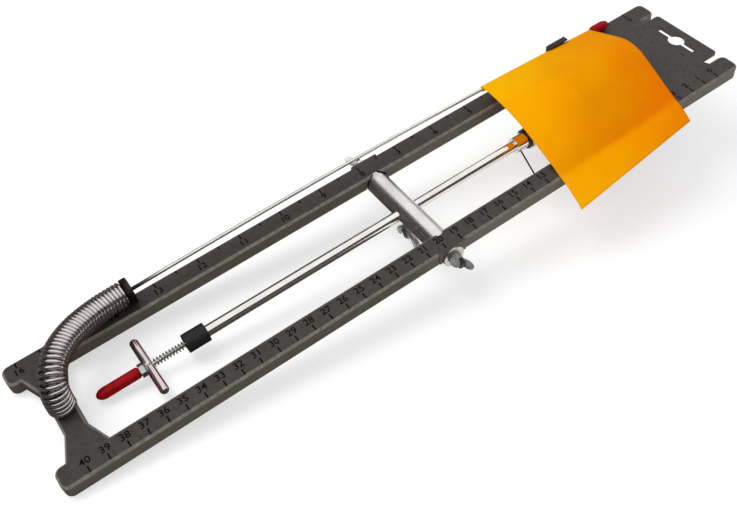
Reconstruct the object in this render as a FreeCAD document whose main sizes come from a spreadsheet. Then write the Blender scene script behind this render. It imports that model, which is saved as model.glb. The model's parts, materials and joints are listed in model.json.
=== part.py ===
"""Ice-fishing tip-up, folded for storage.

A hollow moulded ladder frame carries a cross bar that tilts between its rails.  A tube slides in
the bar, and a shaft turns inside the tube with a line spool on one end and a trigger bar on the
other.  A coil spring on the left cross member carries a long rod with a flag, which lies along
the far rail.

Millimetres.  X runs along the frame, from the flag spring to the hang tab, Y from the near rail
to the far rail, and Z up.  The origin lies below the cross bar, in the plane that the frame's
underside rests in.
"""
import FreeCAD, Part
import math
import os
import re
import Sketcher

V = FreeCAD.Vector
doc = FreeCAD.newDocument("tip_up")
sheet = doc.addObject("Spreadsheet::Sheet", "sizes")

SIZES = [
    ("frame_length", 430.5, "tip to tip of the frame's ears"),
    ("bar_from_left", 216.8, "left ear tip to the cross bar's axis"),
    ("frame_width", 78.6, "over both rails"),
    ("opening_width", 54.0, "clear width between the rails"),
    ("frame_depth", 8.0, "top face to underside"),
    ("deck", 2.0, "thickness of the top skin"),
    ("wall", 1.8, "thickness of the frame's side walls"),
    ("bevel", 1.2, "bevel round the frame's top edges"),
    ("ear_width", 12.8, "width of each of the four ears"),
    ("ear_depth", 11.5, "left ear tip to the cross member's outer edge"),
    ("member_width", 11.5, "width of the left cross member"),
    ("member_straight", 27.0, "straight part of the cross member before it splays"),
    ("splay", 5.2, "how far the splayed corners reach along the rails"),
    ("ear_round", 4.0, "radius of the ears' corners"),
    ("plate_length", 32.3, "right end plate, along the rails"),
    ("right_ear_depth", 16.2, "right ear tip to the end plate's edge"),
    ("tab_side_gap", 3.3, "hang tab's side to the ears"),
    ("tab_setback", 1.0, "right ear tip to the hang tab's edge"),
    ("tab_thickness", 1.8, "hang tab"),
    ("slot_width", 27.6, "hang slot, across"),
    ("slot_height", 3.4, "hang slot's long part"),
    ("slot_from_plate", 4.7, "end plate's edge to the hang slot"),
    ("hump_radius", 5.0, "round part of the hang slot"),
    ("rib", 1.5, "ribs inside the hollow rails"),
    ("rib_cells", 8, "cells between the ribs, each side of the cross bar"),
    ("boss_wall", 1.1, "boss beside the arch in the rails"),
    ("boss_proud", 0.5, "how far the boss stands out of the rail"),
    ("axis_drop", 7.0, "frame top down to the cross bar's axis"),
    ("bar_diameter", 13.0, "cross bar"),
    ("arch_clearance", 0.7, "cross bar to the arch in the rails"),
    ("bar_reach", 2.0, "how far the bar's ends reach into the rails"),
    ("end_clearance", 0.3, "cross bar's end to the boss"),
    ("stud_diameter", 5.0, "studs in the cross bar's ends"),
    ("stud_depth", 8.0, "stud's depth in the bar"),
    ("stud_out", 7.0, "stud's end beyond the washer"),
    ("running_clearance", 0.15, "radial clearance of turning and sliding fits"),
    ("washer_diameter", 12.7, "washer under each wing nut"),
    ("washer_thickness", 1.0, "washer under each wing nut"),
    ("hub_height", 5.5, "wing nut's hub"),
    ("hub_diameter", 9.0, "wing nut's hub at its foot"),
    ("wing_reach", 9.6, "wing nut's axis to a wing's outer edge"),
    ("wing_height", 10.0, "wing nut's foot to a wing's tip"),
    ("wing_thickness", 2.2, "thickness of a wing"),
    ("wing_turn", 45.0, "turn of the wings about the stud"),
    ("tube_diameter", 6.0, "main tube"),
    ("tube_bore", 4.0, "main tube, inside"),
    ("trigger_to_tube", 22.8, "trigger bar's axis to the tube's left end"),
    ("tube_to_spool", 32.7, "tube's right end to the spool's left face"),
    ("cap_length", 12.0, "black cap on the tube's left end"),
    ("cap_diameter", 10.2, "black cap on the tube's left end"),
    ("cap_wall", 2.5, "end wall of the black cap"),
    ("bush_length", 7.0, "bushes in the tube's ends"),
    ("collar_length", 8.0, "collar on the tube's right end"),
    ("collar_diameter", 9.2, "collar on the tube's right end"),
    ("collar_lap", 3.8, "length of tube inside the collar"),
    ("ring_diameter", 12.9, "steel ring beside the collar"),
    ("ring_thickness", 2.0, "steel ring beside the collar"),
    ("seal_thickness", 1.2, "black seal rings"),
    ("seal_diameter", 11.6, "black seal rings"),
    ("guide_wire", 0.9, "wire of the line guide"),
    ("guide_clearance", 3.6, "spool's rim to the line guide's long run"),
    ("shaft_diameter", 2.0, "trigger shaft"),
    ("shaft_past_spool", 6.3, "spool's right face to the shaft's right end"),
    ("spool_to_plate", 17.0, "spool's right face to the end plate"),
    ("spool_width", 36.0, "spool, over both flanges"),
    ("spool_side_gap", 2.0, "spool's flanges to the rails"),
    ("flange", 1.8, "thickness of a spool flange"),
    ("spool_core", 18.0, "diameter of the spool's core"),
    ("spool_boss", 7.0, "length of the boss left of the spool"),
    ("boss_diameter", 8.0, "diameter of the boss left of the spool"),
    ("trigger_from_member", 37.0, "left cross member to the trigger bar's axis"),
    ("trigger_length", 37.0, "trigger bar, end to end"),
    ("trigger_diameter", 4.6, "trigger bar"),
    ("trigger_nut_width", 6.4, "nut beside the trigger bar"),
    ("trigger_nut_height", 2.6, "nut beside the trigger bar"),
    ("grip_length", 23.3, "red grip on the shaft's end"),
    ("grip_diameter", 6.0, "red grip on the shaft's end"),
    ("small_spring_diameter", 4.2, "spring on the shaft, outside"),
    ("small_spring_wire", 0.6, "spring on the shaft, wire"),
    ("clamp_thread", 4.0, "thread of the clamp screw"),
    ("clamp_height", 9.0, "clamp screw's shank below the bar"),
    ("clamp_hub", 7.0, "diameter of the clamp screw's hub"),
    ("seat_screw", 3.5, "screw that holds the spring seat"),
    ("seat_screw_head", 6.4, "head of the spring seat's screw"),
    ("nut_height", 3.0, "nut that holds the spool"),
    ("nut_width", 5.5, "nut that holds the spool, across flats"),
    ("spring_diameter", 13.7, "flag spring, outside"),
    ("spring_wire", 2.0, "flag spring, wire"),
    ("spring_rise", 34.0, "flag spring's pull upwards at its foot"),
    ("spring_reach", 51.75, "flag spring, foot to end along the frame"),
    ("spring_run", 35.2, "flag spring's pull along the rod at its end"),
    ("seat_height", 5.0, "plug inside the foot of the flag spring"),
    ("ferrule_length", 3.5, "ring on the flag spring's end"),
    ("ferrule_diameter", 14.3, "ring on the flag spring's end"),
    ("ferrule_plug", 7.0, "plug of the ferrule inside the spring"),
    ("rod_diameter", 2.0, "flag rod"),
    ("rod_inset", 3.8, "rail's outer side in to the flag rod"),
    ("rod_height", 7.5, "frame top to the flag rod at its ferrule"),
    ("rod_drop", 4.0, "fall of the flag rod from its ferrule to its tip"),
    ("rod_rise", 3.9, "bow of the flag rod above the line between its ends"),
    ("tip_gap", 1.0, "flag to the red tip"),
    ("tip_length", 13.0, "red tip of the flag rod"),
    ("tip_diameter", 6.0, "red tip of the flag rod"),
    ("flag_past_plate", 2.0, "how far the flag reaches over the end plate"),
    ("flag_width", 85.0, "flag, along the rod"),
    ("flag_sheet", 0.6, "thickness of the flag"),
    ("flag_skew_left", 10.0, "shift of the flag's free left corner"),
    ("flag_skew_right", 8.0, "shift of the flag's free right corner"),
    ("flag_overhang", 19.1, "near rail's outer side to the flag's free left corner"),
    ("flag_taper", 6.4, "free left corner in to the free right corner"),
    ("flag_edge_drop", 8.0, "frame top down to the flag's free left corner"),
    ("flag_lift", 5.6, "free left corner up to the free right corner"),
    ("seat_gap", 0.3, "gap between pieces that only lie on each other"),
    ("clip_from_plate", 24.2, "end plate's edge to the rod clip's middle"),
    ("clip_length", 14.0, "rod clip, along the rail"),
    ("clip_thickness", 1.0, "strip that the rod clip is bent from"),
]

DERIVED = [
    ("frame_left", "=-bar_from_left"),
    ("frame_right", "=frame_length - bar_from_left"),
    ("rail_out", "=frame_width / 2"),
    ("rail_in", "=opening_width / 2"),
    ("ear_in", "=rail_out - ear_width"),
    ("axis_z", "=frame_depth - axis_drop"),
    ("plate_right", "=frame_right - right_ear_depth"),
    ("plate_left", "=plate_right - plate_length"),
    ("member_left", "=frame_left + ear_depth"),
    ("member_right", "=member_left + member_width"),
    ("member_mid", "=member_left + member_width / 2"),
    ("boss_width", "=bar_diameter + 2 * arch_clearance + 2 * boss_wall"),
    ("boss_face", "=rail_out + boss_proud"),
    ("bar_end", "=rail_in + bar_reach"),
    ("washer_out", "=boss_face + washer_thickness"),
    ("stud_end", "=washer_out + stud_out"),
    ("tab_width", "=2 * (ear_in - tab_side_gap)"),
    ("trigger_from_bar", "=-member_right - trigger_from_member"),
    ("tube_left", "=trigger_from_bar - trigger_to_tube"),
    ("spool_right", "=plate_left - spool_to_plate"),
    ("spool_left", "=spool_right - spool_width"),
    ("spool_diameter", "=opening_width - 2 * spool_side_gap"),
    ("shaft_right", "=spool_right + shaft_past_spool"),
    ("guide_radius", "=spool_diameter / 2 + guide_clearance"),
    ("tube_right", "=spool_left - tube_to_spool"),
    ("cap_left", "=-tube_left - cap_wall"),
    ("collar_left", "=tube_right - collar_lap"),
    ("collar_right", "=collar_left + collar_length"),
    ("rings_right", "=collar_right + 2 * seal_thickness + ring_thickness"),
    ("trigger_left", "=-trigger_from_bar - trigger_diameter / 2"),
    ("trigger_right", "=-trigger_from_bar + trigger_diameter / 2"),
    ("grip_right", "=trigger_left - trigger_nut_height"),
    ("grip_left", "=grip_right - grip_length"),
    ("rod_y", "=rail_out - rod_inset"),
    ("rod_z", "=frame_depth + rod_height"),
    ("spring_bore", "=spring_diameter - 2 * spring_wire"),
    ("spring_end", "=-member_mid - spring_reach"),
    ("flag_right", "=plate_left + flag_past_plate"),
    ("flag_left", "=flag_right - flag_width"),
    ("flag_edge_y", "=rail_out + flag_overhang"),
    ("tip_start", "=flag_right + tip_gap"),
    ("rod_start", "=-spring_end - 2"),
    ("rod_end", "=tip_start + tip_length / 3"),
    ("clip_x", "=plate_left - clip_from_plate"),
    ("clip_share", "=(clip_x - clip_length / 2 - rod_start) / (rod_end - rod_start)"),
    ("clip_rod_z", "=rod_z - rod_drop * clip_share + 4 * rod_rise * clip_share * (1 - clip_share)"),
]


def fill_sheet():
    """Write the driving sizes as plain numbers and the derived ones as formulas."""
    for row, (name, value, meaning) in enumerate(SIZES, 1):
        sheet.set("A%d" % row, name)
        sheet.set("B%d" % row, str(value))
        sheet.set("C%d" % row, meaning)
        sheet.setAlias("B%d" % row, name)
    first = len(SIZES) + 2
    for row, (name, formula) in enumerate(DERIVED, first):
        sheet.set("A%d" % row, name)
        sheet.set("B%d" % row, formula)
        sheet.setAlias("B%d" % row, name)
    doc.recompute()


FLAG_BENDS = 6
SPRING_BENDS = 4


def size(name):
    """A size from the sheet, as a number."""
    return float(getattr(sheet, name))


def number(owner, expression):
    """The value of an expression that reads the sheet."""
    result = owner.evalExpression(expression)
    return float(getattr(result, "Value", result))


NAMES = {entry[0] for entry in SIZES + DERIVED}


def bound(expression):
    """Put the sheet's name before each size in an expression."""
    return re.sub(r"[a-z_]+", lambda word: with_sheet(word.group()), expression)


def with_sheet(word):
    """A size's name as an object outside the sheet must write it."""
    return "sizes." + word if word in NAMES else word


def origin_plane(body, role):
    """One of a body's own origin planes."""
    return [feature for feature in body.Origin.OriginFeatures if feature.Role == role][0]


def new_body(label, x="0", y="0", z="0"):
    """A body with its place bound to the sheet."""
    body = doc.addObject("PartDesign::Body", label)
    body.Label = label
    for axis, expression in (("x", x), ("y", y), ("z", z)):
        body.setExpression("Placement.Base." + axis, bound(expression))
    return body


def new_sketch(body, name, role, height=None):
    """An empty sketch on one of the body's planes, raised by an expression if one is given."""
    sketch = body.newObject("Sketcher::SketchObject", name)
    sketch.AttachmentSupport = [(origin_plane(body, role), "")]
    sketch.MapMode = "FlatFace"
    if height is not None:
        sketch.setExpression("AttachmentOffset.Base.z", bound(height))
    return sketch


def hold(sketch, kind, geometry, point, expression):
    """Hold a point's distance from the sketch's origin, bound to the sheet."""
    value = number(sketch, bound(expression))
    index = sketch.addConstraint(Sketcher.Constraint(kind, -1, 1, geometry, point, value))
    sketch.setExpression("Constraints[%d]" % index, bound(expression))


def add_polygon(sketch, points):
    """A closed polygon with each corner held by two bound distances."""
    corners = [V(number(sketch, bound(x)), number(sketch, bound(y)), 0) for x, y in points]
    first = sketch.GeometryCount
    count = len(corners)
    for index, corner in enumerate(corners):
        sketch.addGeometry(Part.LineSegment(corner, corners[(index + 1) % count]), False)
    for index in range(count):
        after = first + (index + 1) % count
        sketch.addConstraint(Sketcher.Constraint("Coincident", first + index, 2, after, 1))
    for index, (x, y) in enumerate(points):
        hold(sketch, "DistanceX", first + index, 1, x)
        hold(sketch, "DistanceY", first + index, 1, y)


def add_circle(sketch, x, y, radius):
    """A circle with its centre and radius bound to the sheet."""
    centre = V(number(sketch, bound(x)), number(sketch, bound(y)), 0)
    circle = Part.Circle(centre, V(0, 0, 1), number(sketch, bound(radius)))
    index = sketch.addGeometry(circle, False)
    hold(sketch, "DistanceX", index, 3, x)
    hold(sketch, "DistanceY", index, 3, y)
    fixed = sketch.addConstraint(Sketcher.Constraint("Radius", index, circle.Radius))
    sketch.setExpression("Constraints[%d]" % fixed, bound(radius))


def pad(body, sketch, length, midplane=False):
    """A pad along the sketch's normal."""
    feature = body.newObject("PartDesign::Pad", sketch.Name + "_pad")
    feature.Profile = sketch
    feature.Midplane = midplane
    feature.setExpression("Length", bound(length))
    doc.recompute()
    return feature


def pocket(body, sketch, length, midplane=False, reverse=False):
    """A pocket that must take material away."""
    before = body.Shape.Volume
    feature = body.newObject("PartDesign::Pocket", sketch.Name + "_cut")
    feature.Profile = sketch
    feature.Midplane = midplane
    feature.Reversed = reverse
    feature.setExpression("Length", bound(length))
    doc.recompute()
    if body.Shape.Volume >= before:
        raise ValueError(sketch.Name + " cuts nothing")
    return feature


def turned(label, profile, x="0", y="0", z="0", about="X"):
    """A body turned about one of its own axes; the profile lists (along, radius) corners."""
    body = new_body(label, x, y, z)
    role = "XY_Plane" if about == "Y" else "XZ_Plane"
    axis = "H_Axis" if about == "X" else "V_Axis"
    sketch = new_sketch(body, label + "_profile", role)
    if about == "X":
        add_polygon(sketch, profile)
    else:
        add_polygon(sketch, [(radius, along) for along, radius in profile])
    feature = body.newObject("PartDesign::Revolution", label + "_turned")
    feature.Profile = sketch
    feature.ReferenceAxis = (sketch, [axis])
    feature.Angle = 360
    doc.recompute()
    return body


def ring_profile(start, end, inner, outer):
    """Profile of a plain ring."""
    return [(start, inner), (end, inner), (end, outer), (start, outer)]


def mirrored(half):
    """Close an outline over the centreline: the far half, then the near half backwards."""
    near = [(x, "-( " + y + " )") for x, y in reversed(half)]
    return half + near


def edges_where(shape, test):
    """Names of the edges whose end points and middle all pass a test."""
    names = []
    for index, edge in enumerate(shape.Edges, 1):
        middle = edge.valueAt((edge.FirstParameter + edge.LastParameter) / 2)
        points = [vertex.Point for vertex in edge.Vertexes] + [middle]
        if all(test(point) for point in points):
            names.append("Edge%d" % index)
    return names


def dress(body, kind, name, names, amount):
    """A fillet or chamfer on named edges of the body's tip."""
    base = body.Tip
    feature = body.newObject("PartDesign::" + kind, name)
    feature.Base = (base, names)
    feature.setExpression("Radius" if kind == "Fillet" else "Size", bound(amount))
    doc.recompute()
    return feature


def build_frame():
    """The ladder frame: one hollow moulding, open below."""
    body = new_body("frame")
    outline = new_sketch(body, "frame_outline", "XY_Plane")
    half = [
        ("member_left", "member_straight / 2"),
        ("member_left - splay", "ear_in"),
        ("frame_left", "ear_in"),
        ("frame_left", "rail_out"),
        ("frame_right", "rail_out"),
        ("frame_right", "ear_in"),
        ("plate_right + splay", "ear_in"),
        ("plate_right", "member_straight / 2"),
    ]
    add_polygon(outline, mirrored(half))
    pad(body, outline, "frame_depth")
    corner_x = (size("frame_left"), size("frame_right"))
    corners = edges_where(body.Shape, lambda p: min(abs(p.x - corner) for corner in corner_x) < 0.01)
    corners = [name for name in corners if is_upright(body.Shape, name)]
    dress(body, "Fillet", "ear_rounds", corners, "ear_round")
    opening = new_sketch(body, "frame_opening", "XY_Plane")
    half = [
        ("member_right", "member_straight / 2"),
        ("member_right + splay", "rail_in"),
        ("plate_left - splay", "rail_in"),
        ("plate_left", "member_straight / 2"),
    ]
    add_polygon(opening, mirrored(half))
    pocket(body, opening, "frame_depth", reverse=True)
    top = size("frame_depth")
    dress(body, "Chamfer", "top_bevel", edges_where(body.Shape, lambda p: abs(p.z - top) < 0.01), "bevel")
    add_bosses(body)
    hollow_rails(body)
    hollow_ends(body)
    add_hang_tab(body)
    cut_bar_seats(body)
    return body


def is_upright(shape, name):
    """Whether a named edge runs along Z."""
    first, last = [vertex.Point for vertex in shape.getElement(name).Vertexes][:2]
    return abs(first.x - last.x) < 0.01 and abs(first.y - last.y) < 0.01


def add_bosses(body):
    """Solid bosses outside each rail, where the cross bar's studs pass."""
    sketch = new_sketch(body, "boss_outline", "XY_Plane")
    for side in ("", "-"):
        inner = side + "( rail_out - 3 * bevel )"
        outer = side + "( boss_face )"
        corners = [("-boss_width / 2", inner), ("boss_width / 2", inner)]
        corners += [("boss_width / 2", outer), ("-boss_width / 2", outer)]
        add_polygon(sketch, corners)
    pad(body, sketch, "frame_depth")


def hollow_rails(body):
    """Cells between ribs under both rails, left and right of the cross bar."""
    inner = "rail_in + wall"
    outer = "rail_out - wall"
    left_start = "member_left - splay + wall"
    left_length = "( -( boss_width ) / 2 - ( " + left_start + " ) )"
    right_start = "boss_width / 2"
    right_length = "( plate_right + splay - wall - boss_width / 2 )"
    for side, start, length in (("left", left_start, left_length), ("right", right_start, right_length)):
        pitch = length + " / rib_cells"
        sketch = new_sketch(body, side + "_cell", "XY_Plane")
        end = "( " + start + " ) + ( " + pitch + " ) - rib"
        for sign in ("", "-"):
            near, far = sign + "( " + inner + " )", sign + "( " + outer + " )"
            add_polygon(sketch, [(start, near), (end, near), (end, far), (start, far)])
        cut = pocket(body, sketch, "frame_depth - deck", reverse=True)
        pattern = body.newObject("PartDesign::LinearPattern", side + "_cells")
        pattern.Originals = [cut]
        pattern.Direction = (sketch, ["H_Axis"])
        pattern.setExpression("Length", bound("( " + pitch + " ) * ( rib_cells - 1 )"))
        pattern.setExpression("Occurrences", bound("rib_cells"))
        body.Tip = pattern
        doc.recompute()


def hollow_ends(body):
    """The hollows under the left cross member and the right end plate."""
    half_width = "rail_in - wall"
    for name, start, end in (
        ("member_hollow", "member_left + wall", "member_right - wall"),
        ("plate_hollow", "plate_left + wall", "plate_right - wall"),
    ):
        sketch = new_sketch(body, name, "XY_Plane")
        straight = "member_straight / 2"
        near = "-( " + straight + " )"
        add_polygon(sketch, [(start, near), (end, near), (end, straight), (start, straight)])
        pocket(body, sketch, "frame_depth - deck", reverse=True)


def add_hang_tab(body):
    """The thin tab at the right end, with its hang slot."""
    height = "frame_depth - tab_thickness"
    sketch = new_sketch(body, "tab_outline", "XY_Plane", height)
    edge = "frame_right - tab_setback"
    half = [
        ("plate_right - wall", "tab_width / 2"),
        (edge + " - bevel", "tab_width / 2"),
        (edge, "tab_width / 2 - bevel"),
    ]
    add_polygon(sketch, mirrored(half))
    pad(body, sketch, "tab_thickness")
    slot = new_sketch(body, "hang_slot", "XY_Plane", height)
    start = "plate_right + slot_from_plate"
    end = start + " + slot_height"
    half = [(start, "slot_width / 2"), (end, "slot_width / 2")]
    add_polygon(slot, mirrored(half))
    pocket(body, slot, "tab_thickness", reverse=True)
    hump = new_sketch(body, "hang_hump", "XY_Plane", height)
    add_circle(hump, start + " + slot_height / 2", "0", "hump_radius")
    pocket(body, hump, "tab_thickness", reverse=True)


def cut_bar_seats(body):
    """Arches for the cross bar's ends, and the holes for its studs and the spring seat's screw."""
    arch = new_sketch(body, "bar_arch", "XZ_Plane")
    add_circle(arch, "0", "axis_z", "bar_diameter / 2 + arch_clearance")
    pocket(body, arch, "2 * ( bar_end + end_clearance )", midplane=True)
    hole = new_sketch(body, "stud_holes", "XZ_Plane")
    add_circle(hole, "0", "axis_z", "stud_diameter / 2 + running_clearance")
    pocket(body, hole, "4 * rail_out", midplane=True)
    screw = new_sketch(body, "seat_hole", "XY_Plane")
    add_circle(screw, "member_mid", "0", "seat_screw / 2 + running_clearance")
    pocket(body, screw, "frame_depth", reverse=True)


def side_of(side, expression):
    """An expression on the near (-1) or far (1) side of the centreline."""
    return expression if side > 0 else "-( " + expression + " )"


def add_wings(body, label, foot, side, about):
    """Two upswept wings opposite each other, from the foot of a hub."""
    role = "XY_Plane" if about == "Y" else "YZ_Plane"
    sketch = new_sketch(body, label + "_wing", role)
    shape = [
        ("hub_diameter / 4", "wing_height * 0.08"),
        ("hub_diameter / 2", "wing_height * 0.08"),
        ("wing_reach * 0.80", "wing_height * 0.36"),
        ("wing_reach", "wing_height * 0.62"),
        ("wing_reach", "wing_height * 0.86"),
        ("wing_reach * 0.88", "wing_height"),
        ("wing_reach * 0.66", "wing_height * 0.94"),
        ("hub_diameter * 0.36", "hub_height * 0.90"),
        ("hub_diameter / 4", "hub_height * 0.90"),
    ]
    add_polygon(sketch, [(across, foot + " + " + side_of(side, along)) for across, along in shape])
    wing = pad(body, sketch, "wing_thickness", midplane=True)
    pattern = body.newObject("PartDesign::PolarPattern", label + "_wings")
    pattern.Originals = [wing]
    pattern.Axis = (sketch, ["V_Axis"])
    pattern.Angle = 360
    pattern.Occurrences = 2
    body.Tip = pattern
    doc.recompute()


def build_wing_nut(label, side):
    """A wing nut on one of the cross bar's studs."""
    body = turned(
        label,
        [
            (side_of(side, "washer_out"), "0"),
            (side_of(side, "washer_out"), "hub_diameter / 2"),
            (side_of(side, "washer_out + hub_height"), "hub_diameter * 0.38"),
            (side_of(side, "washer_out + hub_height"), "0"),
        ],
        z="axis_z",
        about="Y",
    )
    add_wings(body, label, side_of(side, "washer_out"), side, "Y")
    bore = new_sketch(body, label + "_bore", "XZ_Plane")
    add_circle(bore, "0", "0", "stud_diameter / 2 + running_clearance")
    pocket(body, bore, "4 * rail_out", midplane=True)
    body.Placement.Rotation = FreeCAD.Rotation(V(0, 1, 0), 1)
    body.setExpression("Placement.Rotation.Angle", bound("wing_turn * 1 deg"))
    return body


def build_clamp_screw():
    """The wing screw under the cross bar, which locks the tube."""
    label = "clamp_screw"
    foot = "-( bar_diameter / 2 + clamp_height )"
    body = turned(
        label,
        [
            ("-( tube_diameter / 2 + seat_gap )", "0"),
            ("-( tube_diameter / 2 + seat_gap )", "clamp_thread / 2"),
            (foot, "clamp_thread / 2"),
            (foot, "clamp_hub / 2"),
            (foot + " - hub_height", "clamp_hub * 0.38"),
            (foot + " - hub_height", "0"),
        ],
        z="axis_z",
        about="Z",
    )
    add_wings(body, label, foot, -1, "Z")
    return body


def build_cross_bar():
    """The round bar between the rails, drilled for the tube, the clamp screw and the studs."""
    body = turned(
        "cross_bar",
        [
            ("-bar_end", "0"),
            ("bar_end", "0"),
            ("bar_end", "bar_diameter / 2"),
            ("-bar_end", "bar_diameter / 2"),
        ],
        z="axis_z",
        about="Y",
    )
    hole = new_sketch(body, "tube_hole", "YZ_Plane")
    add_circle(hole, "0", "0", "tube_diameter / 2 + running_clearance")
    pocket(body, hole, "2 * bar_diameter", midplane=True)
    thread = new_sketch(body, "clamp_hole", "XY_Plane")
    add_circle(thread, "0", "0", "clamp_thread / 2 + running_clearance")
    pocket(body, thread, "bar_diameter")
    for side, name in ((-1, "near_stud_hole"), (1, "far_stud_hole")):
        sketch = new_sketch(body, name, "XZ_Plane", side_of(-side, "bar_end - stud_depth"))
        add_circle(sketch, "0", "0", "stud_diameter / 2")
        pocket(body, sketch, "stud_depth", reverse=side < 0)
    return body


def build_bar_ends():
    """Stud, washer and wing nut at each end of the cross bar."""
    bodies = []
    for label, side in (("near", -1), ("far", 1)):
        start = side_of(side, "bar_end - stud_depth")
        end = side_of(side, "stud_end")
        stud = [(start, "0"), (end, "0"), (end, "stud_diameter / 2 - seat_gap")]
        stud += [(side_of(side, "stud_end - seat_gap"), "stud_diameter / 2"), (start, "stud_diameter / 2")]
        bodies.append(turned(label + "_stud", stud, z="axis_z", about="Y"))
        inner, outer = "stud_diameter / 2", "washer_diameter / 2"
        washer = ring_profile(side_of(side, "boss_face"), side_of(side, "washer_out"), inner, outer)
        bodies.append(turned(label + "_washer", washer, z="axis_z", about="Y"))
        bodies.append(build_wing_nut(label + "_wing_nut", side))
    return bodies


def build_tube_group():
    """The tube and everything fixed on it."""
    running = "shaft_diameter / 2 + running_clearance"
    tube = ring_profile("-tube_left", "tube_right", "tube_bore / 2", "tube_diameter / 2")
    cap = [
        ("cap_left", running),
        ("-tube_left", running),
        ("-tube_left", "tube_diameter / 2"),
        ("cap_left + cap_length", "tube_diameter / 2"),
        ("cap_left + cap_length", "cap_diameter / 2"),
        ("cap_left", "cap_diameter / 2"),
    ]
    collar = [
        ("collar_left", "tube_diameter / 2"),
        ("tube_right", "tube_diameter / 2"),
        ("tube_right", running),
        ("collar_right", running),
        ("collar_right", "collar_diameter / 2"),
        ("collar_left", "collar_diameter / 2"),
    ]
    left_bush = ring_profile("-tube_left", "-tube_left + bush_length", running, "tube_bore / 2")
    right_bush = ring_profile("tube_right - bush_length", "tube_right", running, "tube_bore / 2")
    seal_end = "collar_right + seal_thickness"
    ring_end = seal_end + " + ring_thickness"
    pieces = [
        ("main_tube", tube),
        ("tube_cap", cap),
        ("left_bush", left_bush),
        ("right_bush", right_bush),
        ("collar", collar),
        ("inner_seal", ring_profile("collar_right", seal_end, running, "seal_diameter / 2")),
        ("steel_ring", ring_profile(seal_end, ring_end, running, "ring_diameter / 2")),
        ("outer_seal", ring_profile(ring_end, "rings_right", running, "seal_diameter / 2")),
    ]
    return [turned(label, profile, z="axis_z") for label, profile in pieces] + [build_line_guide()]


def rounded_path(points, share=0.45):
    """Straight runs joined by tangent arcs, each as large as its two runs allow."""
    edges = []
    start = points[0]
    for before, corner, after in zip(points, points[1:], points[2:]):
        back = (before - corner).normalize()
        ahead = (after - corner).normalize()
        reach = share * min((before - corner).Length, (after - corner).Length)
        half_turn = (math.pi - back.getAngle(ahead)) / 2
        enter = corner + back * reach
        leave = corner + ahead * reach
        radius = reach / math.tan(half_turn)
        centre = corner + (back + ahead).normalize() * (radius / math.cos(half_turn))
        middle = centre + (corner - centre).normalize() * radius
        edges.append(Part.LineSegment(start, enter).toShape())
        edges.append(Part.Arc(enter, middle, leave).toShape())
        start = leave
    edges.append(Part.LineSegment(start, points[-1]).toShape())
    return edges


def rod_along(edges, radius):
    """A round rod along runs and arcs, as one solid of cylinders and torus pieces."""
    solids = []
    for edge in edges:
        start = edge.valueAt(edge.FirstParameter)
        along = edge.tangentAt(edge.FirstParameter)
        disc = Part.Face(Part.Wire([Part.Circle(start, along, radius).toShape()]))
        if isinstance(edge.Curve, Part.Circle):
            turn = math.degrees(edge.Length / edge.Curve.Radius)
            solids.append(disc.revolve(edge.Curve.Center, edge.Curve.Axis, turn))
        else:
            solids.append(disc.extrude(along * edge.Length))
    return solids[0].multiFuse(solids[1:]).removeSplitter()


def free_shape(label, shape):
    """A piece whose shape is set directly."""
    piece = doc.addObject("Part::Feature", label)
    piece.Label = label
    piece.Shape = shape
    return piece


def build_line_guide():
    """Wire from the collar to the spool's rim, which leads the line off the spool."""
    middle = (size("collar_left") + size("collar_right")) / 2 - size("collar_length") * 0.2
    out = V(0, -0.8, -0.6)
    centre = V(middle, 0, size("axis_z"))
    points = [
        centre + out * (size("collar_diameter") / 2 - size("guide_wire") / 2),
        centre + out * size("guide_radius"),
        centre + out * size("guide_radius") + V(size("spool_left") + size("spool_width") / 2 - middle, 0, 0),
    ]
    path = rounded_path(points, 0.08)
    return free_shape("line_guide", rod_along(path, size("guide_wire") / 2))


def build_hex_nut(label, start, height, width, hole):
    """A hexagon nut on the shaft."""
    body = new_body(label, z="axis_z")
    sketch = new_sketch(body, label + "_outline", "YZ_Plane", start)
    flat = width + " / 2"
    corner = width + " * 0.57735"
    half = width + " * 0.288675"
    low_half, low_corner, low_flat = ("-( " + value + " )" for value in (half, corner, flat))
    right = [("0", corner), (flat, half), (flat, low_half)]
    add_polygon(sketch, right + [("0", low_corner), (low_flat, low_half), (low_flat, half)])
    add_circle(sketch, "0", "0", hole)
    pad(body, sketch, height)
    return body


def build_spindle_group():
    """The shaft that turns in the tube, with the trigger at one end and the spool at the other."""
    radius = "shaft_diameter / 2"
    inside = "grip_left + grip_diameter / 2"
    shaft = [(inside, "0"), ("shaft_right", "0"), ("shaft_right", radius), (inside, radius)]
    grip = [
        (inside, "0"),
        (inside, radius),
        ("grip_right", radius),
        ("grip_right", "grip_diameter / 2"),
        ("grip_left + grip_diameter * 0.5", "grip_diameter / 2"),
        ("grip_left", "grip_diameter * 0.2"),
        ("grip_left", "0"),
    ]
    spool = [
        ("spool_left - spool_boss", radius),
        ("spool_right", radius),
        ("spool_right", "spool_diameter / 2"),
        ("spool_right - flange", "spool_diameter / 2"),
        ("spool_right - flange", "spool_core / 2"),
        ("spool_left + flange", "spool_core / 2"),
        ("spool_left + flange", "spool_diameter / 2"),
        ("spool_left", "spool_diameter / 2"),
        ("spool_left", "boss_diameter / 2"),
        ("spool_left - spool_boss", "boss_diameter / 2"),
    ]
    pieces = [turned("trigger_shaft", shaft, z="axis_z")]
    pieces.append(turned("handle_grip", grip, z="axis_z"))
    pieces.append(turned("spool", spool, z="axis_z"))
    for label, start, height, width in (
        ("spool_nut", "spool_right", "nut_height", "nut_width"),
        ("trigger_nut", "grip_right", "trigger_nut_height", "trigger_nut_width"),
    ):
        pieces.append(build_hex_nut(label, start, height, width, radius))
    pieces.append(build_trigger_bar())
    pieces.append(build_trigger_spring())
    return pieces


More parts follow.
